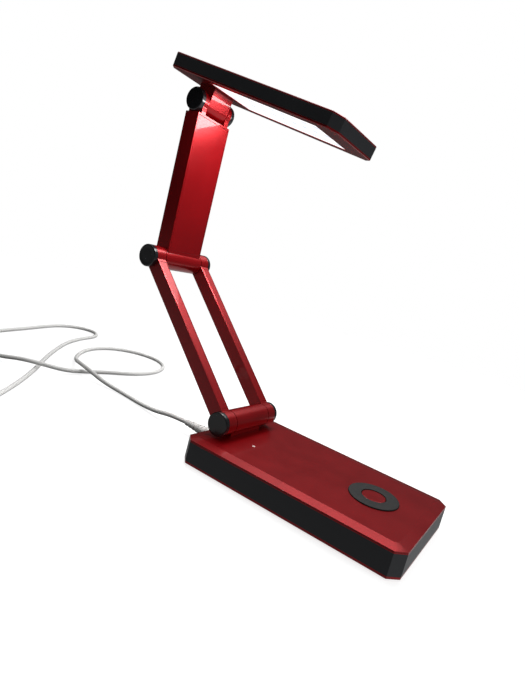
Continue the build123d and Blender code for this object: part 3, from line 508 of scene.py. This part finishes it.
def stand_for(piece: bpy.types.Object, *nodes: str) -> None:
    """Puts a piece in the place of CAD nodes: same body, with the nodes hidden.

    Args:
        piece: the finished piece.
        nodes: the nodes it stands for, the first of which gives its body.
    """
    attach(piece, NODES[nodes[0]]["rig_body"])
    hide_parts(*nodes)
    slot_of(nodes[0])
    LOG.info("%s stands for %s", piece.name, ", ".join(nodes))


def merged_copy(node: str) -> bpy.types.Mesh:
    """Copy of a CAD node's mesh with its loose triangles joined and its flat faces made whole."""
    mesh = NODES[node].data.copy()
    work = bmesh.new()
    work.from_mesh(mesh)
    bmesh.ops.remove_doubles(work, verts=work.verts, dist=MERGE)
    bmesh.ops.dissolve_limit(work, angle_limit=FLAT_ANGLE, verts=work.verts, edges=work.edges)
    work.to_mesh(mesh)
    work.free()
    if "custom_normal" in mesh.attributes:
        mesh.attributes.remove(mesh.attributes["custom_normal"])
    return mesh


def edges_rounded(piece: bpy.types.Object, width: float, segments: int = 3) -> None:
    """Rounds a piece's sharp edges.

    Args:
        piece: the piece, whose mesh is replaced.
        width: how far each rounding reaches, in millimetres.
        segments: how many faces each rounding has.
    """
    rounding = piece.modifiers.new("edge_rounding", "BEVEL")
    rounding.width = width * MM
    rounding.segments = segments
    rounding.limit_method = "ANGLE"
    rounding.angle_limit = BEVEL_ANGLE
    rounding.use_clamp_overlap = True
    baked(piece)


def softened(node: str, finish: Finish, width: float) -> bpy.types.Object:
    """Copy of a CAD node whose sharp edges are rounded as a moulding's are.

    Args:
        node: the CAD node it stands for.
        finish: the finish it gets.
        width: how far each rounding reaches, in millimetres.

    Returns:
        The new piece.
    """
    piece = add_object(node + "_moulded", merged_copy(node))
    edges_rounded(piece, width)
    dress(piece, finish)
    creased(piece)
    steadied(piece)
    stand_for(piece, node)
    return piece


def creased(piece: bpy.types.Object) -> None:
    """Keeps the shallow crease round a large flat face, which shading would otherwise melt away.

    Args:
        piece: the rounded piece; the first face of any of its roundings turns more than the
            widest crease does, so no rounding is marked.
    """
    work = bmesh.new()
    work.from_mesh(piece.data)
    for edge in work.edges:
        if len(edge.link_faces) == 2 and max(f.calc_area() for f in edge.link_faces) > LARGE_FACE:
            edge.smooth = edge.smooth and not CREASE_LOW < edge.calc_face_angle() < CREASE_HIGH
    work.to_mesh(piece.data)
    work.free()


def steadied(piece: bpy.types.Object) -> None:
    """Lets each large flat face keep its own normal, so that only the roundings shade as curved."""
    weighting = piece.modifiers.new("face_weighting", "WEIGHTED_NORMAL")
    weighting.mode = "FACE_AREA"
    weighting.weight = 50
    weighting.keep_sharp = True
    baked(piece)


def turned(profile: Profile, steps: int = 96) -> bmesh.types.BMesh:
    """Solid of revolution about the Z axis.

    Args:
        profile: (radius, height) points in millimetres, from the axis or closed by the caller.
        steps: how many faces go round.

    Returns:
        The mesh, in metres, still to be placed.
    """
    work = bmesh.new()
    rows = []
    for radius, height in profile:
        if radius < 1e-6:
            rows.append([work.verts.new((0.0, 0.0, height * MM))])
            continue
        rows.append([work.verts.new((radius * MM * math.cos(2 * math.pi * k / steps),
                                     radius * MM * math.sin(2 * math.pi * k / steps), height * MM))
                     for k in range(steps)])
    for low, high in zip(rows, rows[1:] + ([rows[0]] if len(rows[0]) > 1 else [])):
        for k in range(steps):
            n = (k + 1) % steps
            corners = [low[k % len(low)], low[n % len(low)], high[n % len(high)], high[k % len(high)]]
            face = list(dict.fromkeys(corners))
            if len(face) > 2:
                work.faces.new(face)
    bmesh.ops.recalc_face_normals(work, faces=work.faces)
    return work


def rounded(corner: Pair, before: Pair, after: Pair, radius: float, steps: int = 6) -> Profile:
    """Points of an arc that rounds a right-angled corner of a profile.

    Args:
        corner: the sharp corner.
        before: unit step that leads into the corner.
        after: unit step that leads out of it.
        radius: radius of the arc, in millimetres.
        steps: how many pieces the arc has.

    Returns:
        The arc's points.
    """
    cx = corner[0] - before[0] * radius + after[0] * radius
    cy = corner[1] - before[1] * radius + after[1] * radius
    points = []
    for k in range(steps + 1):
        a = math.pi / 2 * k / steps
        points.append((cx - after[0] * radius * math.cos(a) + before[0] * radius * math.sin(a),
                       cy - after[1] * radius * math.cos(a) + before[1] * radius * math.sin(a)))
    return points


def as_piece(name: str, work: bmesh.types.BMesh, place: Matrix) -> bpy.types.Object:
    """Places a mesh and makes it an object at the origin."""
    work.transform(place)
    mesh = bpy.data.meshes.new(name)
    work.to_mesh(mesh)
    work.free()
    return add_object(name, mesh)


def joined(name: str, parts: list[bmesh.types.BMesh]) -> bpy.types.Object:
    """Makes one object of several placed meshes."""
    whole = bmesh.new()
    for part in parts:
        mesh = bpy.data.meshes.new("part")
        part.to_mesh(mesh)
        part.free()
        whole.from_mesh(mesh)
        bpy.data.meshes.remove(mesh)
    return as_piece(name, whole, Matrix.Identity(4))


# ---- geometry nodes --------------------------------------------------------------------------------
class Recipe(Graph):
    """One geometry node tree with named inputs, run on an empty mesh and made plain."""

    def __init__(self, name: str) -> None:
        """Starts an empty tree whose result is geometry."""
        self.tree = bpy.data.node_groups.new(name, "GeometryNodeTree")
        self.tree.interface.new_socket("Geometry", in_out="OUTPUT", socket_type="NodeSocketGeometry")
        self.inputs = self.tree.nodes.new("NodeGroupInput")
        self.result = self.tree.nodes.new("NodeGroupOutput")
        self.values: dict[str, tuple[str, object]] = {}

    def size(self, name: str, kind: str, value: object) -> bpy.types.NodeSocket:
        """Adds a named input.

        Args:
            name: what the input is called.
            kind: Float, Int, Vector or Material.
            value: what the modifier passes to it.

        Returns:
            The socket that gives the value inside the tree.
        """
        made = self.tree.interface.new_socket(name, in_out="INPUT", socket_type="NodeSocket" + kind)
        self.values[name] = (made.identifier, value)
        return self.inputs.outputs[name]

    def math(self, operation: str, first: object, second: object) -> bpy.types.NodeSocket:
        """Adds one Math node and returns its result."""
        made = self.node("ShaderNodeMath", {"operation": operation})
        for slot, value in zip(made.inputs, (first, second)):
            self.feed(slot, value)
        return made.outputs[0]

    def finish(self, name: str, geometry: bpy.types.NodeSocket, finish: Finish) -> bpy.types.Object:
        """Ends the tree, runs it once and returns a plain mesh object.

        Args:
            name: the piece's name.
            geometry: the tree's geometry, instances allowed.
            finish: the finish that the tree sets.

        Returns:
            The baked piece, at the origin.
        """
        material = self.size("Finish", "Material", finish.material())
        real = self.node("GeometryNodeRealizeInstances", None, Geometry=geometry)
        painted = self.node("GeometryNodeSetMaterial", None, Geometry=real.outputs[0], Material=material)
        self.tree.links.new(painted.outputs[0], self.result.inputs[0])
        piece = add_object(name, bpy.data.meshes.new(name))
        modifier = piece.modifiers.new(name, "NODES")
        modifier.node_group = self.tree
        for identifier, value in self.values.values():
            modifier[identifier] = value
        baked(piece)
        return piece


# ---- charging lead -----------------------------------------------------------------------------
@dataclass
class ChargingLead:
    """White lead: ribbed relief at the base, free run on the desk, coil, tie and USB plug.

    Lengths are in millimetres, and the coil's turning is in degrees.
    """

    diameter: float = 4.0
    floor: float = 2.05
    over: float = 8.4
    exit: Point = (-125.0, -11.0, 10.0)
    coil_centre: Pair = (-240.0, -147.0)
    coil_exit: float = 1215.0
    lane_radii: Pair = (25.0, 21.0)
    lane_in: Pair = (288.0, 360.0)
    climb: Pair = (576.0, 648.0)
    lane_out: Pair = (864.0, 936.0)
    turn_points: int = 16
    relief_length: float = 24.0
    relief_radii: Pair = (4.4, 2.7)
    rib_count: int = 6
    rib_share: float = 0.62
    rib_rounding: float = 0.35
    core_shares: Pair = (0.74, 0.86)
    plug_edge: float = 0.35
    tie_edge: float = 0.4
    overmould_radius: float = 4.8
    overmould_length: float = 11.0
    overmould_edge: float = 0.4
    overmould_dip: float = 0.35
    barrel_radius: float = 2.75
    barrel_bore: float = 1.0
    barrel_edge: float = 0.4
    tail_length: float = 30.0
    stacking: float = 1.02

    def route(self) -> list[Point]:
        """Listed points of the free run, in millimetres."""
        z, high = self.floor, self.over
        return [
            self.exit, (-143, -11, 9.4), (-164, -9.0, 4.4), (-188, -5.5, z),
            (-214, -3.0, z), (-240, -4.5, z + 1.4), (-263, -6.0, high), (-287, -1.0, high),
            (-308, 11, z + 1.6), (-329, 29, z), (-346, 56, z), (-347, 88, z), (-328, 112, z),
            (-298, 120, z), (-271, 107, z), (-257, 79, z), (-257, 50, z), (-268, 24, z),
            (-275, 0, z), (-276.5, -21, z + 1.8), (-284.5, -40, high), (-304, -51, high),
            (-327, -59, z + 1.4), (-353, -62, z), (-381, -57, z), (-403, -39, z), (-416, -10, z),
            (-425, 22, z), (-435, 52, z), (-443, 80, z), (-437, 105, z), (-415, 116, z),
            (-394, 103, z), (-386, 74, z), (-371, 44, z), (-346, 13, z), (-319.5, -16, z),
            (-292.5, -42, z), (-266.5, -70.5, z), (-245.5, -97, z), (-228.5, -121.5, z),
        ]

    @staticmethod
    def ease(turned_by: float, start: float, end: float) -> float:
        """Share from 0 to 1 of a lane change between two angles, in degrees."""
        return min(1.0, max(0.0, (turned_by - start) / (end - start)))

    def coil(self) -> list[Point]:
        """Points of the put-away turns, in millimetres.

        The lead goes in along the outer lane on the desk, steps to the inner lane, climbs on
        itself, and comes back to the outer lane one diameter higher, each change placed
        where the turn below has already made room.
        """
        step = 360.0 / self.turn_points
        outer, inner = (r / math.cos(math.radians(step / 2)) for r in self.lane_radii)
        cx, cy = self.coil_centre
        points = []
        for k in range(int(self.coil_exit / step) + 1):
            gone = k * step
            inward = self.ease(gone, *self.lane_in) - self.ease(gone, *self.lane_out)
            radius = outer + (inner - outer) * inward
            rise = self.diameter * self.stacking * self.ease(gone, *self.climb)
            angle = -math.radians(gone)
            points.append((cx + radius * math.cos(angle), cy + radius * math.sin(angle),
                           self.floor + rise))
        return points

    def tail(self) -> list[Point]:
        """Points from the coil to the USB plug, in millimetres."""
        turn = -math.radians(self.coil_exit)
        radius = sum(self.lane_radii) / 2 + self.diameter / 4
        out = Vector((math.cos(turn), math.sin(turn), 0.0))
        ahead = Vector((math.sin(turn), -math.cos(turn), 0.0))
        start = Vector((*self.coil_centre, 0.0)) + out * radius
        level = self.floor + self.diameter / 2
        points = []
        for gone, side, rise in ((11.0, 0.9, 1.3), (21.0, 0.3, 0.3), (self.tail_length + 1.0, 0.0, 0.0)):
            place = start + ahead * gone + out * side
            points.append((place.x, place.y, level + rise))
        return points

    def line(self) -> bpy.types.Object:
        """Makes the lead as one smooth curve."""
        curve = bpy.data.curves.new("charging_lead", "CURVE")
        curve.dimensions = "3D"
        curve.bevel_depth = self.diameter / 2 * MM
        curve.bevel_resolution = 5
        curve.resolution_u = 6
        curve.use_fill_caps = True
        spline = curve.splines.new("NURBS")
        points = self.route() + self.coil() + self.tail()
        spline.points.add(len(points) - 1)
        for slot, p in zip(spline.points, points):
            slot.co = (p[0] * MM, p[1] * MM, p[2] * MM, 1.0)
        spline.order_u = 3
        spline.use_endpoint_u = True
        lead = add_object("charging_lead", curve)
        dress(lead, Finish.SHEATH)
        return lead

    def overmould(self) -> bpy.types.Object:
        """Plug's round body with a finger groove, against the base."""
        r, length, edge = self.overmould_radius, self.overmould_length, self.overmould_edge
        groove = r - self.overmould_dip
        profile = [(0.0, 0.0), (r - edge, 0.0), (r, edge), (r, length * 0.3), (groove, length * 0.38),
                   (groove, length * 0.62), (r, length * 0.7)]
        profile += rounded((r, length), (0.0, 1.0), (-1.0, 0.0), 1.0)
        profile += [(0.0, length)]
        work = turned(profile, 64)
        place = self.plug_place()
        piece = as_piece("plug_overmould", work, place @ Matrix.Rotation(-math.pi / 2, 4, "Y"))
        dress(piece, Finish.WHITE)
        return piece

    def plug_place(self) -> Matrix:
        """Place where the plug's axis meets the base's end wall."""
        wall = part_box("base_side_band")[0].x
        return Matrix.Translation(Vector((wall, self.exit[1] * MM, self.exit[2] * MM)))

    def plug_barrel(self) -> bpy.types.Object:
        """Plug's metal barrel inside the jack."""
        place = self.plug_place()
        depth = (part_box("charging_plug")[1].x - place.translation.x) / MM
        profile = [(self.barrel_bore, 0.0), (self.barrel_radius, 0.0)]
        profile += rounded((self.barrel_radius, depth), (0.0, 1.0), (-1.0, 0.0), self.barrel_edge)
        profile += [(self.barrel_bore, depth)]
        work = turned(profile, 48)
        piece = as_piece("plug_barrel", work, place @ Matrix.Rotation(math.pi / 2, 4, "Y"))
        dress(piece, Finish.STEEL)
        return piece

    def relief(self) -> bpy.types.Object:
        """Ribbed, tapered relief: a row of shrinking collars round a slimmer core."""
        recipe = Recipe("relief_ribs")
        count = recipe.size("Rib Count", "Int", self.rib_count)
        length = recipe.size("Length", "Float", self.relief_length * MM)
        big = recipe.size("Start Radius", "Float", self.relief_radii[0] * MM)
        small = recipe.size("End Radius", "Float", self.relief_radii[1] * MM)
        share = recipe.size("Rib Share", "Float", self.rib_share)
        start = recipe.size("Start", "Vector", (self.exit[0] * MM + self.relief_length * MM,
                                                self.exit[1] * MM, self.exit[2] * MM))
        pitch = recipe.math("DIVIDE", length, count)
        step = recipe.node("ShaderNodeCombineXYZ", None, X=recipe.math("MULTIPLY", pitch, -1.0))
        half = recipe.node("ShaderNodeVectorMath", {"operation": "SCALE"}, Scale=0.5)
        recipe.feed(half.inputs[0], step.outputs[0])
        first = recipe.node("ShaderNodeVectorMath", {"operation": "ADD"})
        recipe.feed(first.inputs[0], start)
        recipe.feed(first.inputs[1], half.outputs[0])
        points = recipe.node("GeometryNodeMeshLine", {"mode": "OFFSET"}, Count=count,
                             Start_Location=first.outputs[0], Offset=step.outputs[0])
        index = recipe.node("GeometryNodeInputIndex").outputs[0]
        along = recipe.math("DIVIDE", index, recipe.math("SUBTRACT", count, 1.0))
        drop = recipe.math("MULTIPLY", along, recipe.math("SUBTRACT", small, big))
        radius = recipe.math("ADD", big, drop)
        collar = recipe.node("GeometryNodeMeshCylinder", {"fill_type": "NGON"}, Vertices=40, Radius=1.0,
                             Depth=recipe.math("MULTIPLY", pitch, share))
        size = recipe.node("ShaderNodeCombineXYZ", None, X=radius, Y=radius, Z=1.0)
        ribs = recipe.node("GeometryNodeInstanceOnPoints", None, Points=points.outputs[0],
                           Instance=collar.outputs["Mesh"], Rotation=(0.0, math.pi / 2, 0.0),
                           Scale=size.outputs[0])
        core = recipe.node("GeometryNodeMeshCone", {"fill_type": "NGON"}, Vertices=40,
                           Radius_Bottom=recipe.math("MULTIPLY", big, self.core_shares[0]),
                           Radius_Top=recipe.math("MULTIPLY", small, self.core_shares[1]),
                           Depth=length)
        seated = recipe.node("GeometryNodeTransform", None, Geometry=core.outputs["Mesh"], Translation=start,
                             Rotation=(0.0, -math.pi / 2, 0.0))
        both = recipe.node("GeometryNodeJoinGeometry")
        recipe.feed(both.inputs[0], ribs.outputs[0])
        recipe.feed(both.inputs[0], seated.outputs[0])
        piece = recipe.finish("plug_relief", both.outputs[0], Finish.WHITE)
        edges_rounded(piece, self.rib_rounding)
        dress(piece, Finish.WHITE)
        return piece

    def build(self) -> None:
        lead = self.line()
        stand_for(lead, "charging_cord", "cord_coil", "cord_tail")
        overmould = self.overmould()
        stand_for(overmould, "charging_plug")
        barrel = self.plug_barrel()
        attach(barrel, "base")
        relief = self.relief()
        stand_for(relief, "plug_strain_relief")
        plug = softened("usb_plug", Finish.WHITE, self.plug_edge)
        tie = softened("cord_tie", Finish.DARK, self.tie_edge)
        length = curve_length(lead)
        LOG.info("charging lead is %.3f m long", length)


def curve_length(piece: bpy.types.Object) -> float:
    """Length of a curve object's own line, in metres, to the nearest centimetre."""
    line = piece.data.copy()
    line.bevel_depth = 0.0
    probe = add_object("probe", line)
    graph = bpy.context.evaluated_depsgraph_get()
    graph.update()
    mesh = bpy.data.meshes.new_from_object(probe.evaluated_get(graph))
    points = [v.co.copy() for v in mesh.vertices]
    bpy.data.objects.remove(probe)
    bpy.data.meshes.remove(mesh)
    bpy.data.curves.remove(line)
    return round(sum((b - a).length for a, b in zip(points, points[1:])), 2)


# ---- hinges ----------------------------------------------------------------------------------------
PIN_HOLE = 3.05
HEAD_PIN_HOLE = 2.55


@dataclass
class HingeCaps:
    """Black end caps of one hinge, turned with a soft rim and a shallow dished face."""

    node: str
    centre: Vector
    radius: float = 9.5
    rim: float = 0.8
    inner_edge: float = 0.2
    dish: float = 0.12
    dish_inset: float = 2.0
    bore: float = 2.0

    def profile(self, thickness: float, pin: float) -> Profile:
        """Section of a cap from its pin hole round the rim to the middle of its face."""
        r, face = self.radius, thickness - self.dish
        points = [(0.0, self.bore), (pin, self.bore), (pin, 0.0), (r - self.inner_edge, 0.0),
                  (r, self.inner_edge)]
        points += rounded((r, thickness), (0.0, 1.0), (-1.0, 0.0), self.rim)
        points += [(r - self.dish_inset, face), (r * 0.5, face), (0.0, face)]
        return points

    def build(self, pin: float) -> bpy.types.Object:
        """Makes both caps as one piece.

        Args:
            pin: radius of the hole for the hinge pin, in millimetres.

        Returns:
            The piece, standing for the CAD caps.
        """
        low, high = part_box(self.node)
        halves = []
        for side in (-1, 1):
            outer = (high.y if side > 0 else -low.y) / MM
            inner = self.inner_face(side)
            work = turned(self.profile(outer - inner, pin))
            turn = Matrix.Rotation(-side * math.pi / 2, 4, "X")
            place = Matrix.Translation(self.centre + Vector((0.0, side * inner * MM, 0.0)))
            work.transform(place @ turn)
            halves.append(work)
        piece = joined(self.node + "_turned", halves)
        dress(piece, Finish.CAP)
        stand_for(piece, self.node)
        return piece

    def inner_face(self, side: int) -> float:
        """Distance of a cap's inner face from the middle plane, in millimetres."""
        mesh = NODES[self.node].data
        return min(side * v.co.y for v in mesh.vertices if side * v.co.y > 0) / MM


# ---- switch ----------------------------------------------------------------------------------------
@dataclass
class PushSwitch:
    """Black trim ring with a soft edge and the red button disc in its middle."""

    centre: Pair = (47.0, 0.0)
    ring_radius: float = 19.0
    ring_edge: float = 0.6
    ring_seat: float = 0.6
    hole_radius: float = 9.3
    hole_edge: float = 0.35
    hub_outer: float = 11.9
    button_radius: float = 9.0
    button_edge: float = 0.45
    button_wall: float = 1.2
    button_skirt: float = 4.0
    stem_radius: float = 2.5

    def place(self) -> Matrix:
        """Place of the switch's own axis in the row frame."""
        return Matrix.Translation(Vector((self.centre[0] * MM, self.centre[1] * MM, 0.0)))

    def ring(self) -> bpy.types.Object:
        """Trim ring, hub and all, as one turned piece."""
        bottom, top = (corner.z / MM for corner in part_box("switch_bezel"))
        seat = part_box("base_top_cover")[1].z / MM - self.ring_seat
        profile = [(self.hole_radius, bottom), (self.hub_outer, bottom), (self.hub_outer, seat),
                   (self.ring_radius, seat)]
        profile += rounded((self.ring_radius, top), (0.0, 1.0), (-1.0, 0.0), self.ring_edge)
        profile += rounded((self.hole_radius, top), (-1.0, 0.0), (0.0, -1.0), self.hole_edge, 4)
        piece = as_piece("switch_ring", turned(profile, 128), self.place())
        dress(piece, Finish.RING)
        stand_for(piece, "switch_bezel")
        return piece

    def button(self) -> bpy.types.Object:
        """Button disc with its skirt and stem, very slightly dished."""
        stem_end, top = (corner.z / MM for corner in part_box("power_button"))
        skirt = top - self.button_skirt
        r, stem = self.button_radius, self.stem_radius
        inner = r - self.button_wall
        under = top - self.button_wall
        profile = [(0.0, stem_end), (stem, stem_end), (stem, under), (inner, under), (inner, skirt),
                   (r, skirt)]
        profile += rounded((r, top), (0.0, 1.0), (-1.0, 0.0), self.button_edge)
        profile += [(r * share, top - dip) for share, dip in ((0.6, 0.10), (0.3, 0.14), (0.0, 0.15))]
        piece = as_piece("button_disc", turned(profile, 128), self.place())
        dress(piece, Finish.RED)
        stand_for(piece, "power_button")
        return piece


# ---- light head --------------------------------------------------------------------------------------
@dataclass
class LightHead:
    """Flat light head: frame, band, cover, opal window and the grid of LEDs behind it."""

    led_size: Point = (3.5, 2.8, 0.8)
    led_rounding: float = 0.2
    cover_edge: float = 0.25
    band_edge: float = 0.2
    block_edge: float = 0.4
    window_edge: float = 0.3

    def leds(self) -> bpy.types.Object:
        """Grid of LED packages on the underside of their board."""
        recipe = Recipe("led_grid")
        count_x = recipe.size("Count Along", "Int", GRID.count_long)
        count_y = recipe.size("Count Across", "Int", GRID.count_wide)
        length = recipe.size("Grid Length", "Float", GRID.pitch_long * (GRID.count_long - 1) * MM)
        across = recipe.size("Grid Width", "Float", GRID.pitch_wide * (GRID.count_wide - 1) * MM)
        size = recipe.size("LED Size", "Vector", tuple(v * MM for v in self.led_size))
        grid = recipe.node("GeometryNodeMeshGrid", None, Size_X=length, Size_Y=across, Vertices_X=count_x,
                           Vertices_Y=count_y)
        package = recipe.node("GeometryNodeMeshCube", None, Size=size)
        chips = recipe.node("GeometryNodeInstanceOnPoints", None, Points=grid.outputs["Mesh"],
                            Instance=package.outputs["Mesh"])
        piece = recipe.finish("led_grid", chips.outputs[0], Finish.PHOSPHOR)
        middle = Vector((GRID.middle, 0.0, GRID.level - self.led_size[2] / 2)) * MM
        piece.data.transform(HEAD_SEAT @ Matrix.Translation(middle))
        edges_rounded(piece, self.led_rounding, 2)
        dress(piece, Finish.PHOSPHOR)
        stand_for(piece, "led_chips")
        return piece

    def build(self) -> None:
        """Makes every visible piece of the head."""
        softened("head_bottom_frame", Finish.RED, self.cover_edge)
        softened("head_side_band", Finish.BAND, self.band_edge)
        softened("head_top_cover", Finish.RED, self.cover_edge)
        softened("head_hinge_block", Finish.RED, self.block_edge)
        softened("light_diffuser", Finish.OPAL, self.window_edge)
        self.leds()


@dataclass
class Arms:
    """Both rails of the lower arm and the box of the upper arm, with their lids."""

    edge: float = 0.55
    lid_edge: float = 0.4

    def build(self) -> None:
        """Makes the rails, the box and the lids."""
        for side in ("near", "far"):
            softened(f"{side}_rail_channel", Finish.RED, self.edge)
            softened(f"{side}_rail_lid", Finish.RED, self.lid_edge)
        softened("upper_arm_channel", Finish.RED, self.edge)
        softened("upper_arm_lid", Finish.RED, self.lid_edge)


@dataclass
class Base:
    """Base housing: covers, grained band, barrel and pad."""

    edge: float = 0.3
    band_edge: float = 0.2
    barrel_edge: float = 0.35

    def build(self) -> None:
        """Makes the housing's outer pieces."""
        softened("base_bottom_cover", Finish.RED, self.edge)
        softened("base_side_band", Finish.BAND, self.band_edge)
        softened("base_top_cover", Finish.RED, self.edge)
        softened("base_hinge_barrel", Finish.RED, self.barrel_edge)
        softened("anti_slip_pad", Finish.PAD, self.edge)


def dress_nodes() -> None:
    """Gives every CAD node that still shows its finish."""
    for finish, names in NODE_FINISH.items():
        for name in names:
            NODES[name].data.materials.clear()
            NODES[name].data.materials.append(finish.material())


# ---- studio --------------------------------------------------------------------------------------------
@dataclass(frozen=True)
class Softbox:
    """Area light: where it hangs, what it faces and its size, in metres, and its power in watts."""

    name: str
    place: Point
    aim: Point
    size: Pair
    power: float
    gloss: bool = True

    def build(self) -> bpy.types.Object:
        """Makes the light."""
        data = bpy.data.lights.new(self.name, "AREA")
        data.shape = "RECTANGLE"
        data.size, data.size_y = self.size
        data.energy = self.power
        lamp = add_object(self.name, data)
        lamp.location = self.place
        lamp.rotation_mode = "QUATERNION"
        lamp.rotation_quaternion = (Vector(self.aim) - Vector(self.place)).to_track_quat("-Z", "Y")
        lamp.visible_glossy = self.gloss
        return lamp


@dataclass(frozen=True)
class Surround:
    """Brightness round the lamp by direction: white to the eye, a lit room to gloss and matt faces.

    A ramp is the height where it starts and how much height it takes. Heights are on the unit
    sphere, so 0 is level and 1 straight up.
    """

    ceiling: float = 0.42
    ceiling_ramp: Pair = (0.45, 0.16)
    ceiling_lift_right: float = 0.35
    room: float = 0.08
    room_turn: Pair = (0.5, 0.3)
    room_least: float = 0.012
    front_sharpness: float = -2.0
    front_table: float = 0.25
    front_ramp: Pair = (0.02, 0.2)
    back_table: float = 0.5
    back_ramp: Pair = (-0.2, 0.15)
    sky: float = 0.62
    sky_upward: float = 0.6
    sky_backward: float = 0.3
    sky_level: float = 0.3

    def build(self) -> None:
        """Makes the world."""
        world = bpy.data.worlds.new("surround")
        bpy.context.scene.world = world
        world.use_nodes = True
        tree = world.node_tree
        tree.nodes.clear()
        out = tree.nodes.new("ShaderNodeOutputWorld")
        back = tree.nodes.new("ShaderNodeBackground")
        tree.links.new(back.outputs[0], out.inputs["Surface"])
        rays = tree.nodes.new("ShaderNodeLightPath")
        way = tree.nodes.new("ShaderNodeTexCoord")
        axes = tree.nodes.new("ShaderNodeSeparateXYZ")
        tree.links.new(way.outputs["Generated"], axes.inputs[0])
        x, y, up = (Value(tree, axes.outputs[name]) for name in "XYZ")
        seen = Value(tree, rays.outputs["Is Camera Ray"])
        gloss = Value(tree, rays.outputs["Is Glossy Ray"])
        other = gloss * self.glossy(x, y, up) + (1.0 - gloss) * self.diffuse(y, up)
        back.inputs["Color"].default_value = (1.0, 1.0, 1.0, 1.0)
        tree.links.new((seen + (1.0 - seen) * other).socket, back.inputs["Strength"])

    def glossy(self, x: Value, y: Value, up: Value) -> Value:
        """What gloss shows: a bright ceiling, a dim room, and a table in front and behind."""
        start, width = self.ceiling_ramp
        above = ((up - start - x.limited() * self.ceiling_lift_right) / width).limited()
        turn, level = self.room_turn
        side = ((x + y) * turn + level).limited()
        forward = (y * self.front_sharpness).limited()
        near, far = (((start - up) / width).limited() for start, width in (self.front_ramp, self.back_ramp))
        table = forward * near * self.front_table + (1.0 - forward) * far * self.back_table
        low = side * self.room + self.room_least + table
        return low + (self.ceiling - low) * above

    def diffuse(self, y: Value, up: Value) -> Value:
        """What lights matt faces: more from above and from behind."""
        return (up * self.sky_upward + y * self.sky_backward + self.sky_level).limited() * self.sky


@dataclass
class Studio:
    """Pale floor, soft lights and the camera."""

    eye: Point = (136.85, -336.50, 169.11)
    yaw: float = 117.555
    pitch: float = -8.0294
    roll: float = 15.619
    lens: float = 25.562
    shift: Pair = (-0.0664, -0.0211)
    floor_middle: Point = (-0.1, 0.0, -0.0002)
    floor_radius: float = 1.1
    floor_clear: float = 0.5
    floor_shade: float = 0.45
    floor_glow: float = 0.78
    boxes: tuple[Softbox, ...] = (
        Softbox("top_box", (-0.15, 0.55, 1.00), (-0.08, 0.0, 0.05), (0.8, 0.5), 4.8),
        Softbox("right_box", (1.05, 0.10, 0.30), (-0.12, 0.0, 0.12), (0.4, 0.5), 4.0, gloss=False),
    )
    glow_level: float = 13.5
    glow_power: float = 0.38

    def camera(self) -> None:
        """Places the camera."""
        yaw, pitch, roll = (math.radians(a) for a in (self.yaw, self.pitch, self.roll))
        ahead = Vector((math.cos(pitch) * math.cos(yaw), math.cos(pitch) * math.sin(yaw),
                        math.sin(pitch)))
        level = Vector((math.sin(yaw), -math.cos(yaw), 0.0))
        above = level.cross(ahead)
        right = level * math.cos(roll) + above * math.sin(roll)
        up = above * math.cos(roll) - level * math.sin(roll)
        data = bpy.data.cameras.new("camera")
        data.lens = self.lens
        data.sensor_width = 36.0
        data.sensor_fit = "AUTO"
        data.shift_x, data.shift_y = self.shift
        data.clip_start, data.clip_end = 0.01, 50.0
        eye = add_object("camera", data)
        facing = Matrix((right, up, -ahead)).transposed().to_4x4()
        eye.matrix_world = Matrix.Translation(Vector(self.eye) * MM) @ facing
        bpy.context.scene.camera = eye

    def floor(self) -> None:
        """Pale disc, lightly self-lit, that fades out at its rim."""
        work = bmesh.new()
        bmesh.ops.create_circle(work, cap_ends=True, segments=96, radius=self.floor_radius)
        piece = as_piece("floor", work, Matrix.Translation(self.floor_middle))
        s = Shader("pale_floor")
        s.set(Base_Color=(self.floor_shade,) * 3 + (1.0,), Roughness=0.9,
              Emission_Color=(1.0, 1.0, 1.0, 1.0), Emission_Strength=self.floor_glow)
        s.surface.inputs["Specular IOR Level"].default_value = 0.1
        away = s.node("VectorMath", {"operation": "LENGTH"}, Vector=s.place())
        far = Value(s.tree, away.outputs["Value"])
        fade = (far - self.floor_clear) / (self.floor_radius - self.floor_clear)
        s.set(Alpha=1.0 - fade.limited())
        piece.data.materials.append(s.material)
        piece.visible_diffuse = False
        piece.visible_glossy = False

    def build(self) -> None:
        """Makes the whole studio."""
        scene = bpy.context.scene
        scene.view_settings.view_transform = "Standard"
        scene.view_settings.look = "None"
        Surround().build()
        self.floor()
        for box in self.boxes:
            box.build()
        window = HEAD_SEAT @ (Vector((GRID.middle, 0.0, self.glow_level)) * MM)
        below = HEAD_SEAT @ (Vector((GRID.middle, 0.0, -100.0)) * MM)
        size = ((GRID.end - GRID.start) * MM, GRID.width * MM)
        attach(Softbox("window_glow", tuple(window), tuple(below), size, self.glow_power).build(), "head")
        self.camera()


def main() -> None:
    """Builds the lamp and the studio in order."""
    logging.basicConfig(level=logging.INFO, format="%(message)s")
    Studio().build()
    ChargingLead().build()
    Base().build()
    HingeCaps("base_hinge_caps", BASE_HINGE).build(PIN_HOLE)
    HingeCaps("elbow_caps", ELBOW).build(PIN_HOLE)
    HingeCaps("head_hinge_caps", HEAD_HINGE).build(HEAD_PIN_HOLE)
    switch = PushSwitch()
    switch.ring()
    switch.button()
    Arms().build()
    LightHead().build()
    dress_nodes()


if __name__ == "__main__":
    main()
